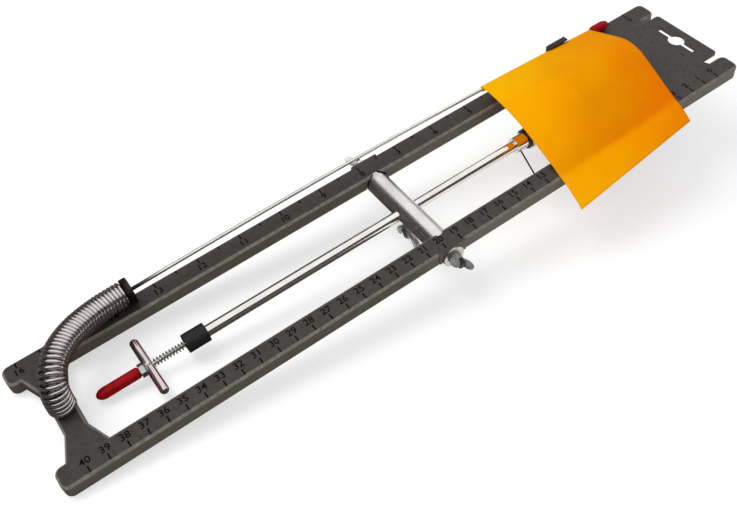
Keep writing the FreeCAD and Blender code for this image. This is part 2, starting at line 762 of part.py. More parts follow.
def build_trigger_bar():
    """The bar across the shaft that the flag rod hooks under when the trap is set."""
    end = "trigger_length / 2"
    body = turned(
        "trigger_bar",
        [
            ("-( " + end + " )", "0"),
            (end, "0"),
            (end, "trigger_diameter * 0.32"),
            (end + " - trigger_diameter * 0.18", "trigger_diameter / 2"),
            ("-( " + end + " ) + trigger_diameter * 0.18", "trigger_diameter / 2"),
            ("-( " + end + " )", "trigger_diameter * 0.32"),
        ],
        x="-trigger_from_bar",
        z="axis_z",
        about="Y",
    )
    hole = new_sketch(body, "shaft_hole", "YZ_Plane")
    add_circle(hole, "0", "0", "shaft_diameter / 2")
    pocket(body, hole, "2 * trigger_diameter", midplane=True)
    return body


def build_trigger_spring():
    """The outer shape of the open coil between the trigger bar and the tube's cap."""
    outer = "small_spring_diameter / 2"
    inner = outer + " - small_spring_wire"
    profile = ring_profile("trigger_right", "cap_left - seat_gap", inner, outer)
    return turned("trigger_spring", profile, z="axis_z")


def crossing(first, second):
    """The point midway between two lines where they pass closest; each is (point, direction)."""
    (p, a), (q, b) = first, second
    across = a.cross(b)
    square = across.dot(across)
    on_first = p + a * ((q - p).cross(b).dot(across) / square)
    on_second = q + b * ((q - p).cross(a).dot(across) / square)
    return (on_first + on_second) / 2


def spring_path():
    """Runs and arcs along the flag spring's one even bend, from the cross member to the far rail."""
    foot = V(size("member_mid"), 0, size("frame_depth"))
    end = V(-size("spring_end"), size("rod_y"), size("rod_z"))
    bend = Part.BezierCurve()
    bend.setPoles([foot, foot + V(0, 0, size("spring_rise")), end - V(size("spring_run"), 0, 0), end])
    steps = [step / SPRING_BENDS for step in range(SPRING_BENDS + 1)]
    lines = [(bend.value(step), bend.tangent(step)[0]) for step in steps]
    corners = [crossing(first, second) for first, second in zip(lines, lines[1:])]
    corners[0] = V(foot.x, foot.y, corners[0].z)
    corners[-1] = V(corners[-1].x, end.y, end.z)
    return rounded_path([foot] + corners + [end])


def build_flag_spring():
    """The coil spring's outer shape, with room for the plugs in its ends."""
    foot = V(size("member_mid"), 0, size("frame_depth"))
    end = V(-size("spring_end"), size("rod_y"), size("rod_z"))
    solid = rod_along(spring_path(), size("spring_diameter") / 2)
    bore = size("spring_bore") / 2
    seat = Part.makeCylinder(bore, size("seat_height") + size("seat_gap"), foot)
    plug_length = size("ferrule_plug") + size("seat_gap")
    plug = Part.makeCylinder(bore, plug_length, end - V(plug_length, 0, 0), V(1, 0, 0))
    return free_shape("flag_spring", solid.cut(seat).cut(plug))


def build_spring_seat():
    """The plug inside the spring's foot and the screw that holds it."""
    radius = "spring_bore / 2 - seat_gap"
    thread = "seat_screw / 2"
    top = "frame_depth + seat_height"
    screw_top = "frame_depth + seat_height / 2"
    seat = [
        ("frame_depth", thread),
        (screw_top, thread),
        (screw_top, "0"),
        (top, "0"),
        (top, radius),
        ("frame_depth", radius),
    ]
    under = "frame_depth - deck"
    screw = [
        (under + " - deck", "0"),
        (under + " - deck", "seat_screw_head / 2"),
        (under, "seat_screw_head / 2"),
        (under, thread),
        (screw_top, thread),
        (screw_top, "0"),
    ]
    return [
        turned("spring_seat", seat, x="member_mid", about="Z"),
        turned("seat_screw", screw, x="member_mid", about="Z"),
    ]


def rod_height(x):
    """Height of the bowed flag rod's axis at one place along the frame."""
    share = (x - size("rod_start")) / (size("rod_end") - size("rod_start"))
    return size("rod_z") - size("rod_drop") * share + 4 * size("rod_rise") * share * (1 - share)


def rod_between(start, end, radius):
    """A round piece along the flag rod's axis between two places along the frame."""
    spots = [V(x, size("rod_y"), rod_height(x)) for x in (start, (start + end) / 2, end)]
    return rod_along([Part.Arc(*spots).toShape()], radius)


def build_rod_group():
    """Ferrule, rod and red tip along the far rail."""
    hole = "rod_diameter / 2 + seat_gap"
    plug = "-spring_end - ferrule_plug"
    ferrule = [
        (plug, "0"),
        ("rod_start - seat_gap", "0"),
        ("rod_start - seat_gap", hole),
        ("-spring_end + ferrule_length", hole),
        ("-spring_end + ferrule_length", "ferrule_diameter / 2"),
        ("-spring_end", "ferrule_diameter / 2"),
        ("-spring_end", "spring_bore / 2 - seat_gap"),
        (plug, "spring_bore / 2 - seat_gap"),
    ]
    tip = [
        ("tip_start", hole),
        ("rod_end + seat_gap", hole),
        ("rod_end + seat_gap", "0"),
        ("tip_start + tip_length", "0"),
        ("tip_start + tip_length", "tip_diameter * 0.25"),
        ("tip_start + tip_length * 0.8", "tip_diameter / 2"),
        ("tip_start", "tip_diameter / 2"),
    ]
    rod = rod_between(size("rod_start"), size("rod_end"), size("rod_diameter") / 2)
    return [
        turned("rod_ferrule", ferrule, y="rod_y", z="rod_z"),
        turned("rod_tip", tip, y="rod_y", z="rod_z - rod_drop"),
        free_shape("flag_rod", rod),
    ]


def tangent_point(point, centre, radius, left):
    """Where a line from a point touches a circle, in the YZ plane, on the chosen side."""
    offset = point - centre
    angle = math.acos(radius / offset.Length) * (1 if left else -1)
    turned_offset = FreeCAD.Rotation(V(1, 0, 0), math.degrees(angle)).multVec(offset)
    return centre + turned_offset.normalize() * radius


def drape(x, share, gap):
    """The flag's section at one height over rod, spool and near rail, share of the way to its right."""
    lift = size("rod_diameter") / 2 + gap
    lowest = V(x, size("rod_y"), rod_height(size("flag_right")) + lift)
    corner = V(x, -(size("rail_out") - size("bevel")), size("frame_depth") + gap)
    centre = V(x, 0, size("axis_z"))
    radius = size("spool_diameter") / 2 + gap
    first = tangent_point(lowest, centre, radius, True) - centre
    last = tangent_point(corner, centre, radius, False) - centre
    turn = math.degrees(first.getAngle(last)) / FLAG_BENDS
    arm = first / math.cos(math.radians(turn / 2))
    bends = [
        centre + FreeCAD.Rotation(V(1, 0, 0), turn * (step + 0.5)).multVec(arm)
        for step in range(FLAG_BENDS)
    ]
    edge_y = size("flag_edge_y") - size("flag_taper") * share
    edge_z = size("frame_depth") - size("flag_edge_drop") + size("flag_lift") * share + gap
    return [V(x, size("rod_y"), rod_height(x) + lift)] + bends + [corner, V(x, -edge_y, edge_z)]


def flag_section(x, share):
    """The flag sheet's closed outline at one place along the frame."""
    low = drape(x, share, size("seat_gap"))
    high = drape(x, share, size("seat_gap") + size("flag_sheet"))
    return Part.makePolygon(low + high[::-1] + low[:1])


def build_flag():
    """The flag's sheet with its sleeve, draped over the spool and the near rail."""
    left = size("flag_left") - size("flag_skew_left")
    right = size("flag_right")
    radius = size("rod_diameter") / 2 + size("seat_gap")
    solid = Part.makeLoft([flag_section(left, 0), flag_section(right, 1)], True, True)
    solid = solid.fuse(rod_between(left, right, radius + size("flag_sheet")))
    solid = solid.cut(rod_between(left, right, radius))
    back = size("rod_y") + 2 * radius
    front = -size("flag_edge_y") - 2 * radius
    floor = -size("frame_depth")
    plan = [
        V(size("flag_left"), back, floor),
        V(right, back, floor),
        V(right - size("flag_skew_right"), front, floor),
        V(left, front, floor),
    ]
    prism = Part.Face(Part.makePolygon(plan + plan[:1])).extrude(V(0, 0, 6 * size("frame_depth")))
    return free_shape("flag", solid.common(prism).removeSplitter())


def build_rod_clip():
    """The black hook on the far rail that holds the rod and its sleeve down."""
    body = new_body("rod_clip")
    sketch = new_sketch(body, "clip_profile", "YZ_Plane", "clip_x - clip_length / 2")
    sleeve = "rod_diameter / 2 + flag_sheet + 2 * seat_gap"
    inner = "rod_y + " + sleeve
    outer = inner + " + clip_thickness"
    under = "clip_rod_z + " + sleeve
    over = under + " + clip_thickness"
    add_polygon(
        sketch,
        [
            ("rod_y - 3 * clip_thickness", "frame_depth"),
            (outer, "frame_depth"),
            (outer, over),
            ("rod_y", over),
            ("rod_y", under),
            (inner, under),
            (inner, "frame_depth + clip_thickness"),
            ("rod_y - 3 * clip_thickness", "frame_depth + clip_thickness"),
        ],
    )
    pad(body, sketch, "clip_length")
    return body


def check(pieces):
    """Stop if any object failed, or any piece is empty or broken."""
    for item in doc.Objects:
        if "Invalid" in item.State or "Error" in item.State:
            raise ValueError("failed: " + item.Label)
    for piece in pieces:
        if piece.Shape.isNull() or not piece.Shape.isValid() or not piece.Shape.Solids:
            raise ValueError("bad shape: " + piece.Label)


def main():
    """Build every piece, check them all and write one file for each."""
    fill_sheet()
    pieces = [build_frame(), build_cross_bar(), build_clamp_screw(), build_rod_clip(), build_flag_spring()]
    pieces += build_spring_seat()
    pieces += build_bar_ends()
    pieces += build_tube_group()
    pieces += build_spindle_group()
    pieces += build_rod_group()
    pieces.append(build_flag())
    doc.recompute()
    check(pieces)
    os.makedirs("parts", exist_ok=True)
    for piece in pieces:
        piece.Shape.exportStep("parts/" + piece.Label + ".step")
        box = piece.Shape.BoundBox
        low = "%.1f %.1f %.1f" % (box.XMin, box.YMin, box.ZMin)
        high = "%.1f %.1f %.1f" % (box.XMax, box.YMax, box.ZMax)
        print(piece.Label, len(piece.Shape.Solids), "%.0f mm3" % piece.Shape.Volume, low, "to", high)


main()
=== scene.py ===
"""Looks of the folded tip-up: finishes, coils, scale, flag, stage and camera.

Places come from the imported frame, and the settings below give what it doesn't hold.
Lengths are metres, and angles are degrees.
"""
import json
import math

import bmesh
import bpy
from bpy.props import FloatProperty, FloatVectorProperty, IntProperty, PointerProperty
from mathutils import Matrix, Vector
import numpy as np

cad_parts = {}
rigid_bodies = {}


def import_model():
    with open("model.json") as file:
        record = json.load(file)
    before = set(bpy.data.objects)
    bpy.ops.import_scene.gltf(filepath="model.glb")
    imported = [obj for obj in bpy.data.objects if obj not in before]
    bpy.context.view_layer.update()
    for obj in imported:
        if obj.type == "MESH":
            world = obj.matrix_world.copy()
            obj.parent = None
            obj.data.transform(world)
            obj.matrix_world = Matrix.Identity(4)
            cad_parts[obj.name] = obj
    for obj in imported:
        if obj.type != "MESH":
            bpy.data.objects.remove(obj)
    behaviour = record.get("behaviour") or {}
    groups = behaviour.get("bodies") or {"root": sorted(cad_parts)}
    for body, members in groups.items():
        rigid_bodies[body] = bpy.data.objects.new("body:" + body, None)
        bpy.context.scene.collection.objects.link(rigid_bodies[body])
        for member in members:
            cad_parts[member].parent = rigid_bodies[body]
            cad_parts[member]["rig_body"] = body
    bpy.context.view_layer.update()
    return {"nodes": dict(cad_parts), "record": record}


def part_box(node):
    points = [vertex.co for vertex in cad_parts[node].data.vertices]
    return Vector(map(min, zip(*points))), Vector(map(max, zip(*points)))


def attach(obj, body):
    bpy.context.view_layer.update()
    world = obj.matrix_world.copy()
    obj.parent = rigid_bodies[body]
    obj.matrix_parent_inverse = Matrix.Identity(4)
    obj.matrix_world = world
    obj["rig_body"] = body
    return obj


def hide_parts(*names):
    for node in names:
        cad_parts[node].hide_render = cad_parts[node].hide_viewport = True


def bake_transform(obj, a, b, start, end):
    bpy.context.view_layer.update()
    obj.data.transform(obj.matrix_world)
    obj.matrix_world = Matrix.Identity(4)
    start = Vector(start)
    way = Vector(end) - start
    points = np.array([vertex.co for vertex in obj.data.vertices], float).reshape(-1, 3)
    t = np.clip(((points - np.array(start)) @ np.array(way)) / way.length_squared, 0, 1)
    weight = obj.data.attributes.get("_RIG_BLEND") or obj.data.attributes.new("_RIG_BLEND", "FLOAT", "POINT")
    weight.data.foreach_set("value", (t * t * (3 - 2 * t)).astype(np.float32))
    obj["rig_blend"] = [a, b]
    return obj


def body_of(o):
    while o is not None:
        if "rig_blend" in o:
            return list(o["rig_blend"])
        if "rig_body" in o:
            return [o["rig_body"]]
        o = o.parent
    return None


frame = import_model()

bl_info = {
    "name": "Tip-up looks",
    "version": (1, 0, 0),
    "blender": (4, 5, 0),
    "location": "3D View > Sidebar > Tip-up",
    "description": "Dresses the packed tip-up with finishes, coils, scale marks and its flag",
    "category": "Object",
}


def middle(node):
    """The middle of a CAD node's box."""
    low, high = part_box(node)
    return (low + high) / 2


AXIS = middle("main_tube")  # the tube, the shaft and the spool share one axis along X
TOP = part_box("frame")[1].z  # height of the frame's top face
GAP = 0.00045  # the frame's top face to the middle of the film that lies on it


# ---- sizes and colours


def colour(name, description, value):
    """A colour setting."""
    return FloatVectorProperty(
        name=name, description=description, default=value, subtype="COLOR", min=0, max=1
    )


def length(name, description, value):
    """A length setting, in metres."""
    return FloatProperty(
        name=name, description=description, default=value, unit="LENGTH", precision=5
    )


def number(name, description, value):
    """A plain setting, such as an angle in degrees."""
    return FloatProperty(name=name, description=description, default=value)


def whole(name, description, value):
    """A whole number setting."""
    return IntProperty(name=name, description=description, default=value)


class TipUpColours(bpy.types.PropertyGroup):
    """Colours of the finishes."""

    frame: colour("Frame", "Moulded frame", (0.030, 0.026, 0.024))
    # Painted highlight: a lighter colour on the frame's slanted top edges, where light catches the bevels.
    wear: colour("Wear", "Bright edges of the frame", (0.15, 0.138, 0.118))
    # Painted light: a lighter olive on the frame's upright faces, as if lit from the pale floor.
    sides: colour("Sides", "Upright faces of the frame", (0.078, 0.069, 0.050))
    marks: colour("Marks", "Scale marks and numbers", (0.002, 0.002, 0.002))
    black: colour("Black", "Cap, clip, seat, seals and spool", (0.011, 0.0105, 0.0105))
    flag: colour("Flag", "Flag film", (0.85, 0.22, 0.0))
    # Painted light: a paler yellow-orange for the film's left end and past the rail, as if lit through from
    # below.
    flag_faded: colour("Paler flag", "Flag film at the rod's left end", (0.88, 0.56, 0.0))
    red: colour("Red", "Dipped grip and rod tip", (0.22, 0.001, 0.004))
    chrome: colour("Chrome", "Tube, collar, shaft and rod", (0.91, 0.89, 0.85))
    # Painted reflection: the trigger bar's chrome is tinted pink, standing in for the pink that it mirrors.
    bar: colour("Trigger bar", "Trigger bar", (0.74, 0.63, 0.64))
    spring: colour("Spring", "Flag spring's wire", (0.70, 0.66, 0.66))
    aluminium: colour("Aluminium", "Cross bar", (0.86, 0.83, 0.82))
    zinc: colour("Zinc", "Screws, nuts and small spring", (0.60, 0.63, 0.60))
    washer: colour("Washer", "Washers under the wing nuts", (0.72, 0.69, 0.62))
    dark_steel: colour("Dark steel", "Ferrule, studs and line guide", (0.055, 0.048, 0.046))
    wing_nut: colour("Wing nut", "Near wing nut", (0.14, 0.148, 0.138))
    # Painted light: the far wing nut is a pale copy of the near nut's dark plastic, for its washed-out, lit
    # look.
    pale_nut: colour("Pale nut", "Far wing nut", (0.55, 0.56, 0.54))
    nylon: colour("Nylon", "Bushes in the tube", (0.70, 0.68, 0.62))


class TipUpSizes(bpy.types.PropertyGroup):
    """Sizes of what the frame doesn't hold."""

    spring_wire: length("Spring wire", "Flag spring's wire", 0.0020)
    spring_turns: whole("Spring turns", "Turns of the flag spring", 37)
    spring_rise: length("Spring rise", "Upward pull of the flag spring at its foot", 0.034)
    spring_run: length("Spring run", "Pull of the flag spring along the rod at its end", 0.0352)
    small_wire: length("Small wire", "Wire of the spring on the shaft", 0.0006)
    small_turns: whole("Small turns", "Turns of the spring on the shaft", 10)
    rod_rise: length("Rod rise", "Bow of the flag rod above the line between its ends", 0.0039)
    punch: length("Punch mark", "Radius of the mark in the trigger bar", 0.0011)
    film: length("Film", "Thickness of the flag", 0.0004)
    sleeve: length("Sleeve", "Rod's middle to the middle of the sleeve's film", 0.00145)
    flag_width: length("Flag width", "Flag along the rod", 0.085)
    flag_reach: length("Flag reach", "Near rail's bevel to the free left corner", 0.0203)
    flag_taper: length("Flag taper", "Free left corner in to the free right corner", 0.0064)
    flag_skew_left: length("Left skew", "Shift of the free left corner", 0.010)
    flag_skew_right: length("Right skew", "Shift of the free right corner", 0.008)
    flag_sag: length("Flag hump", "Rise of the unheld left edge above a straight line", 0.0035)
    flag_float: length("Flag float", "Rise of the right edge above the near rail", 0.0040)
    flag_lift: length("Flag lift", "Free left corner up to the free right corner", 0.0056)
    scale_zero: length("Scale zero", "Place of the scales' zero along the frame", 0.1972)
    tick_width: length("Tick width", "Width of a scale mark", 0.0008)
    tick_length: length("Tick length", "Length of a scale mark", 0.0036)
    digit: length("Digit", "Height of the scale's numbers", 0.0040)
    digit_weight: length("Digit weight", "How much the numbers are thickened", 0.00009)
    wing_long: length("Wing length", "Half the length of a wing", 0.0043)
    wing_wide: length("Wing width", "Half the width of a wing", 0.0028)
    wing_thick: length("Wing thickness", "Half the thickness of a wing", 0.0017)
    mark_proud: length("Mark height", "How far the marks stand out", 0.00004)


class TipUpStage(bpy.types.PropertyGroup):
    """Camera, lights, and the dark curtain and mat."""

    lens: number("Lens", "Camera's lens, in mm", 43.9)
    azimuth: number("Azimuth", "Direction that the camera looks in", 29.42)
    elevation: number("Elevation", "How far the camera looks down", 51.58)
    roll: number("Roll", "Camera's roll", -7.71)
    distance: length("Distance", "Camera to its aim", 0.4609)
    key: number("Key", "Power of the main lamp, in watts", 7.0)
    fill: number("Fill", "Power of the fill lamp, in watts", 2.0)
    world: number("World", "Strength of the light from all round", 0.75)
    curtain_start: number("Curtain start", "Turn from +X where it starts", 115)
    curtain_end: number("Curtain end", "Turn from +X where it ends", 335)
    curtain_rise: number("Curtain rise", "How high it reaches at its start", 52)
    curtain_fall: number("Curtain fall", "How high it reaches at its end", 38)
    curtain_low: number("Curtain low", "How high it reaches on the right", 13)
    curtain_far: number("Curtain far", "How high it reaches on the far side", 38)
    curtain_step: number("Curtain step", "Turn from +X where the far side starts", 62)
    curtain_reach: length("Curtain reach", "Frame's middle to the curtain", 1.1)
    mat_gap: length("Mat gap", "Cross bar to the dark mat's edge", 0.004)


# ---- node helpers


VECTORS = "ShaderNodeVectorMath"


def feed(tree, socket, source):
    """Link an output into a socket, or give the socket a plain value."""
    if isinstance(source, bpy.types.NodeSocket):
        tree.links.new(source, socket)
    else:
        socket.default_value = source


def fit(tree, node, **inputs):
    """Feed a node's inputs by name."""
    for name, source in inputs.items():
        feed(tree, node.inputs[name.replace("_", " ")], source)
    return node


def add(tree, kind, *inputs, **settings):
    """A node with its settings, and with its inputs fed in order or by name."""
    node = tree.nodes.new(kind)
    named = {}
    for name, value in settings.items():
        if hasattr(node, name):
            setattr(node, name, value)
        else:
            named[name] = value
    for index, source in enumerate(inputs):
        feed(tree, node.inputs[index], source)
    return fit(tree, node, **named)


def node_group(name, family, inputs, outputs=(("Mesh", "Geometry"),)):
    """An empty node group with named sockets, its inputs' outlets and its output node."""
    tree = bpy.data.node_groups.new(name, family + "NodeTree")
    for side, sockets in (("INPUT", inputs), ("OUTPUT", outputs)):
        for label, kind, *default in sockets:
            socket = tree.interface.new_socket(label, in_out=side, socket_type="NodeSocket" + kind)
            if default:
                socket.default_value = default[0]
    return tree, tree.nodes.new("NodeGroupInput").outputs, tree.nodes.new("NodeGroupOutput")


def group_of(build):
    """The node group that a function builds, made once."""
    return bpy.data.node_groups.get(build.__name__) or build()


def compute(tree, operation, *values, kind="ShaderNodeMath", **settings):
    """The result of one step of arithmetic."""
    return add(tree, kind, *values, operation=operation, **settings).outputs[0]


def ranged(tree, value, low, high, to_low=0.0, to_high=1.0):
    """A value carried from one range into another, and held inside it."""
    return add(tree, "ShaderNodeMapRange", value, low, high, to_low, to_high).outputs["Result"]


def own(tree, output="Object"):
    """A piece's own coordinates or normals, read once in each shader tree."""
    node = tree.nodes.get("own") or add(tree, "ShaderNodeTexCoord", name="own")
    return node.outputs[output]


def noise(tree, scale, detail, roughness=0.5, place=None):
    """A noise on Object coordinates, or on a place given."""
    node = add(
        tree, "ShaderNodeTexNoise", Vector=place or own(tree), Scale=scale, Detail=detail,
        Roughness=roughness,
    )
    return node.outputs["Fac"]


def shade(base, factor=1.0):
    """A darker or lighter version of a colour, with alpha."""
    return tuple(min(1.0, channel * factor) for channel in base) + (1.0,)


def between(tree, factor, first, second):
    """A mix of two colours by a factor."""
    mix = add(tree, "ShaderNodeMix", data_type="RGBA", Factor=factor)
    feed(tree, mix.inputs[6], first)
    feed(tree, mix.inputs[7], second)
    return mix.outputs[2]


def mixed(tree, factor, first, second, end):
    """Send a mix of two shaders to a tree's output."""
    mix = add(tree, "ShaderNodeMixShader", factor, first.outputs[0], second.outputs[0])
    fit(tree, tree.nodes[end], Surface=mix.outputs[0])


def bump(tree, shader, height, strength, distance):
    """A bump from a height into a shader's normal."""
    node = add(tree, "ShaderNodeBump", Strength=strength, Distance=distance, Height=height)
    fit(tree, shader, Normal=node.outputs["Normal"])


def new_material(name):
    """A material with its tree and its Principled shader."""
    made = bpy.data.materials.new("worked_" + name)
    made.use_nodes = True
    tree = made.node_tree
    return made, tree, tree.nodes["Principled BSDF"]


# ---- finishes


def moulded_grain():
    """Group: fine moulded grain and faint mottling."""
    tree, given, end = node_group(
        "moulded_grain", "Shader",
        (("Grain Scale", "Float", 2600.0), ("Mottle Scale", "Float", 420.0)),
        (("Mottle", "Float"), ("Height", "Float")),
    )
    grain = noise(tree, given["Grain Scale"], 2.0, 0.55)
    mottle = noise(tree, given["Mottle Scale"], 5.0, 0.62)
    fit(tree, end, Mottle=ranged(tree, mottle, 0.35, 0.68), Height=grain)
    return tree


def handled_metal():
    """Group: fine lines along one axis, with smudges that dull the polish."""
    tree, given, end = node_group(
        "handled_metal", "Shader",
        (
            ("Stretch", "Vector"), ("Line Scale", "Float", 60.0),
            ("Polished", "Float"), ("Dulled", "Float"),
        ),
        (("Roughness", "Float"), ("Height", "Float"), ("Tarnish", "Float")),
    )
    stretched = compute(tree, "MULTIPLY", own(tree), given["Stretch"], kind=VECTORS)
    lines = noise(tree, given["Line Scale"], 3.0, place=stretched)
    smudge = ranged(tree, noise(tree, 95.0, 4.0, 0.6), 0.38, 0.7)
    dull = ranged(tree, smudge, 0.0, 1.0, given["Polished"], given["Dulled"])
    fit(tree, end, Roughness=dull, Height=lines, Tarnish=smudge)
    return tree


def worn_edges():
    """Group: masks of painted light: a painted highlight on slanted top edges, broken up by noise, and
    painted light on upright faces.
    """
    tree, given, end = node_group(
        "worn_edges", "Shader", (("Break Scale", "Float", 420.0),),
        (("Wear", "Float"), ("Side", "Float")),
    )
    slanted = 0.7  # how far up the normal of a slanted edge points
    upward = add(tree, "ShaderNodeSeparateXYZ", own(tree, "Normal")).outputs["Z"]
    off = compute(tree, "ABSOLUTE", compute(tree, "SUBTRACT", upward, slanted))
    broken = noise(tree, given["Break Scale"], 4.0, 0.65)
    strength = ranged(tree, broken, 0.3, 0.62, 0.45)
    # Painted highlight: slanted top edges take a lighter colour, broken up by noise.
    wear = compute(tree, "MULTIPLY", ranged(tree, off, 0.24, 0.12), strength)
    # Painted light: upright faces take a lighter olive colour.
    side = ranged(tree, compute(tree, "ABSOLUTE", upward), 0.4, 0.2)
    fit(tree, end, Wear=wear, Side=side)
    return tree


def moulded(name, base, roughness, contrast=0.22, gloss=0.35, highlight_colour=None, sides=None):
    """Moulded plastic or rubber: grain and mottling, and where colours are given, a painted highlight on
    slanted edges and painted light on upright faces.
    """
    made, tree, shader = new_material(name)
    effect = add(tree, "ShaderNodeGroup", node_tree=group_of(moulded_grain)).outputs
    tint = between(tree, effect["Mottle"], shade(base, 1 - contrast), shade(base, 1 + contrast))
    if highlight_colour:
        # Painted highlight on slanted edges, and painted light on upright faces.
        edges = add(tree, "ShaderNodeGroup", node_tree=group_of(worn_edges)).outputs
        for mask, there in (("Side", sides), ("Wear", highlight_colour)):
            tint = between(tree, edges[mask], tint, shade(there))
    fit(tree, shader, Base_Color=tint, Roughness=roughness, Specular_IOR_Level=gloss)
    bump(tree, shader, effect["Height"], strength=0.5, distance=0.00006)
    return made


def metal(name, base, polished, dulled, stretch=(1, 40, 40), depth=0.000004):
    """Bare or plated metal: drawn or turned lines, with a little tarnish."""
    made, tree, shader = new_material(name)
    effect = add(
        tree, "ShaderNodeGroup", node_tree=group_of(handled_metal),
        Stretch=stretch, Polished=polished, Dulled=dulled,
    ).outputs
    tint = between(tree, effect["Tarnish"], shade(base), shade(base, 0.88))
    fit(tree, shader, Base_Color=tint, Metallic=1.0, Roughness=effect["Roughness"])
    bump(tree, shader, effect["Height"], strength=0.4, distance=depth)
    return made


def dipped(name, base):
    """Red dip: thick, glossy and slightly uneven."""
    made, tree, shader = new_material(name)
    flow = noise(tree, 220.0, 2.0)
    fit(
        tree, shader, Base_Color=between(tree, flow, shade(base, 0.6), shade(base, 1.3)),
        Roughness=0.35, Specular_IOR_Level=0.04, Coat_Weight=0.16, Coat_Roughness=0.04,
    )
    bump(tree, shader, flow, strength=0.25, distance=0.0003)
    return made


def film(name, base, painted_light_tint):
    """Thin orange film that lets light through, with painted light and shade: paler at the rod's left end
    and past the rail, deeper orange towards the right and the fold.
    """
    made, tree, shader = new_material(name)
    parts = add(tree, "ShaderNodeSeparateXYZ", own(tree)).outputs
    low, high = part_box("flag")
    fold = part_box("near_washer")[1].y
    # Painted light and shade: the film is paler at the rod's left end, deeper orange to the right and
    # towards the fold, and paler again past the fold; the clouds are random tone.
    half, paler, cloudy = 0.5, -0.26, 0.22  # what each way, the flap and the clouds change
    along = ranged(tree, parts["X"], low.x, high.x)
    fold_shade = ranged(tree, parts["Y"], high.y, fold, to_high=half)
    flap_light = ranged(tree, parts["Y"], fold + 0.002, fold - 0.001, to_high=paler)
    slope = compute(tree, "MULTIPLY_ADD", along, half, compute(tree, "ADD", fold_shade, flap_light))
    clouds = ranged(tree, noise(tree, 42.0, 4.0, 0.6), 0.0, 1.0, -cloudy, cloudy)
    strong = compute(tree, "ADD", slope, clouds, use_clamp=True)
    tint = between(tree, strong, shade(painted_light_tint), shade(base))
    fit(tree, shader, Base_Color=tint, Roughness=0.6, Specular_IOR_Level=0.03)
    bump(tree, shader, noise(tree, 1900.0, 2.0), strength=0.25, distance=0.00002)
    through = add(tree, "ShaderNodeBsdfTranslucent", Color=tint)
    mixed(tree, 0.5, shader, through, "Material Output")
    return made


def all_finishes(tint):
    """Every finish by name."""
    even, drawn_across, turned = (4, 4, 4), (40, 1, 40), (50, 1, 1)
    recipes = {
        # moulded: colour, roughness, contrast of the mottling, gloss, painted edge highlight, painted light
        # on upright faces
        "frame_plastic": (moulded, tint.frame, 0.5, 0.22, 0.35, tint.wear, tint.sides),
        "scale_marks": (moulded, tint.marks, 0.6, 0.2, 0.08),
        "black_plastic": (moulded, tint.black, 0.42, 0.2, 0.25),
        "seal_rubber": (moulded, tint.black, 0.55, 0.2),
        "spool_plastic": (moulded, tint.black, 0.36, 0.25),
        "wing_nut_plastic": (moulded, tint.wing_nut, 0.42, 0.15),
        # Painted light: a pale, lit copy of the wing nut plastic for the far nut.
        "pale_nut_plastic": (moulded, tint.pale_nut, 0.42, 0.12),
        "bush_nylon": (moulded, tint.nylon, 0.4, 0.1),
        "red_dip": (dipped, tint.red),
        "flag_film": (film, tint.flag, tint.flag_faded),
        # metal: colour, roughness polished and dulled, stretch and depth of the lines
        "tube_chrome": (metal, tint.chrome, 0.06, 0.14),
        # Painted reflection: pink-tinted chrome for the trigger bar.
        "bar_chrome": (metal, tint.bar, 0.07, 0.16, drawn_across),
        "spring_chrome": (metal, tint.spring, 0.12, 0.22),
        "satin_aluminium": (metal, tint.aluminium, 0.26, 0.36, (3, 60, 3), 0.00002),
        "collar_steel": (metal, tint.chrome, 0.10, 0.2, turned),
        "zinc_steel": (metal, tint.zinc, 0.36, 0.5, even),
        "spring_zinc": (metal, tint.zinc, 0.55, 0.68, even),
        "washer_steel": (metal, tint.washer, 0.25, 0.4, (6, 6, 6)),
        "rod_steel": (metal, tint.chrome, 0.16, 0.28),
        "dark_steel": (metal, tint.dark_steel, 0.3, 0.45),
    }
    return {name: build(name, *values) for name, (build, *values) in recipes.items()}


FINISHES = {}


def finish(name):
    """One finish by name, after all are made once from the colours."""
    if not FINISHES:
        FINISHES.update(all_finishes(bpy.context.scene.tip_up_colours))
    return FINISHES[name]


def paint(owner, name):
    """Give an object one finish."""
    owner.data.materials.clear()
    owner.data.materials.append(finish(name))


# ---- mesh helpers


def placed(name, data):
    """A new object in the scene."""
    made = bpy.data.objects.new(name, data)
    bpy.context.scene.collection.objects.link(made)
    return made


def new_piece(name, mesh, coat, body, slot, *nodes):
    """A finished piece that rides on a body and may stand for CAD nodes."""
    piece = placed(name, mesh)
    if coat:
        paint(piece, coat)
    if body:
        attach(piece, body)
    if nodes:
        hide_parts(*nodes)
    return piece


def mesh_of(name, shape):
    """A mesh from a bmesh, which is freed."""
    mesh = bpy.data.meshes.new(name)
    shape.to_mesh(mesh)
    shape.free()
    return mesh


def smooth_mesh(name, shape, sharp_from):
    """A mesh from a bmesh, smoothed apart from edges that turn by more than an angle."""
    mesh = mesh_of(name, shape)
    mesh.shade_smooth()
    mesh.set_sharp_from_angle(angle=math.radians(sharp_from))
    return mesh


def closed_piece(name, shape, *rest, sharp_from):
    """A smoothed piece from a bmesh, merged and facing outwards."""
    bmesh.ops.remove_doubles(shape, verts=shape.verts, dist=1e-7)
    bmesh.ops.recalc_face_normals(shape, faces=shape.faces)
    new_piece(name, smooth_mesh(name, shape, sharp_from), *rest)


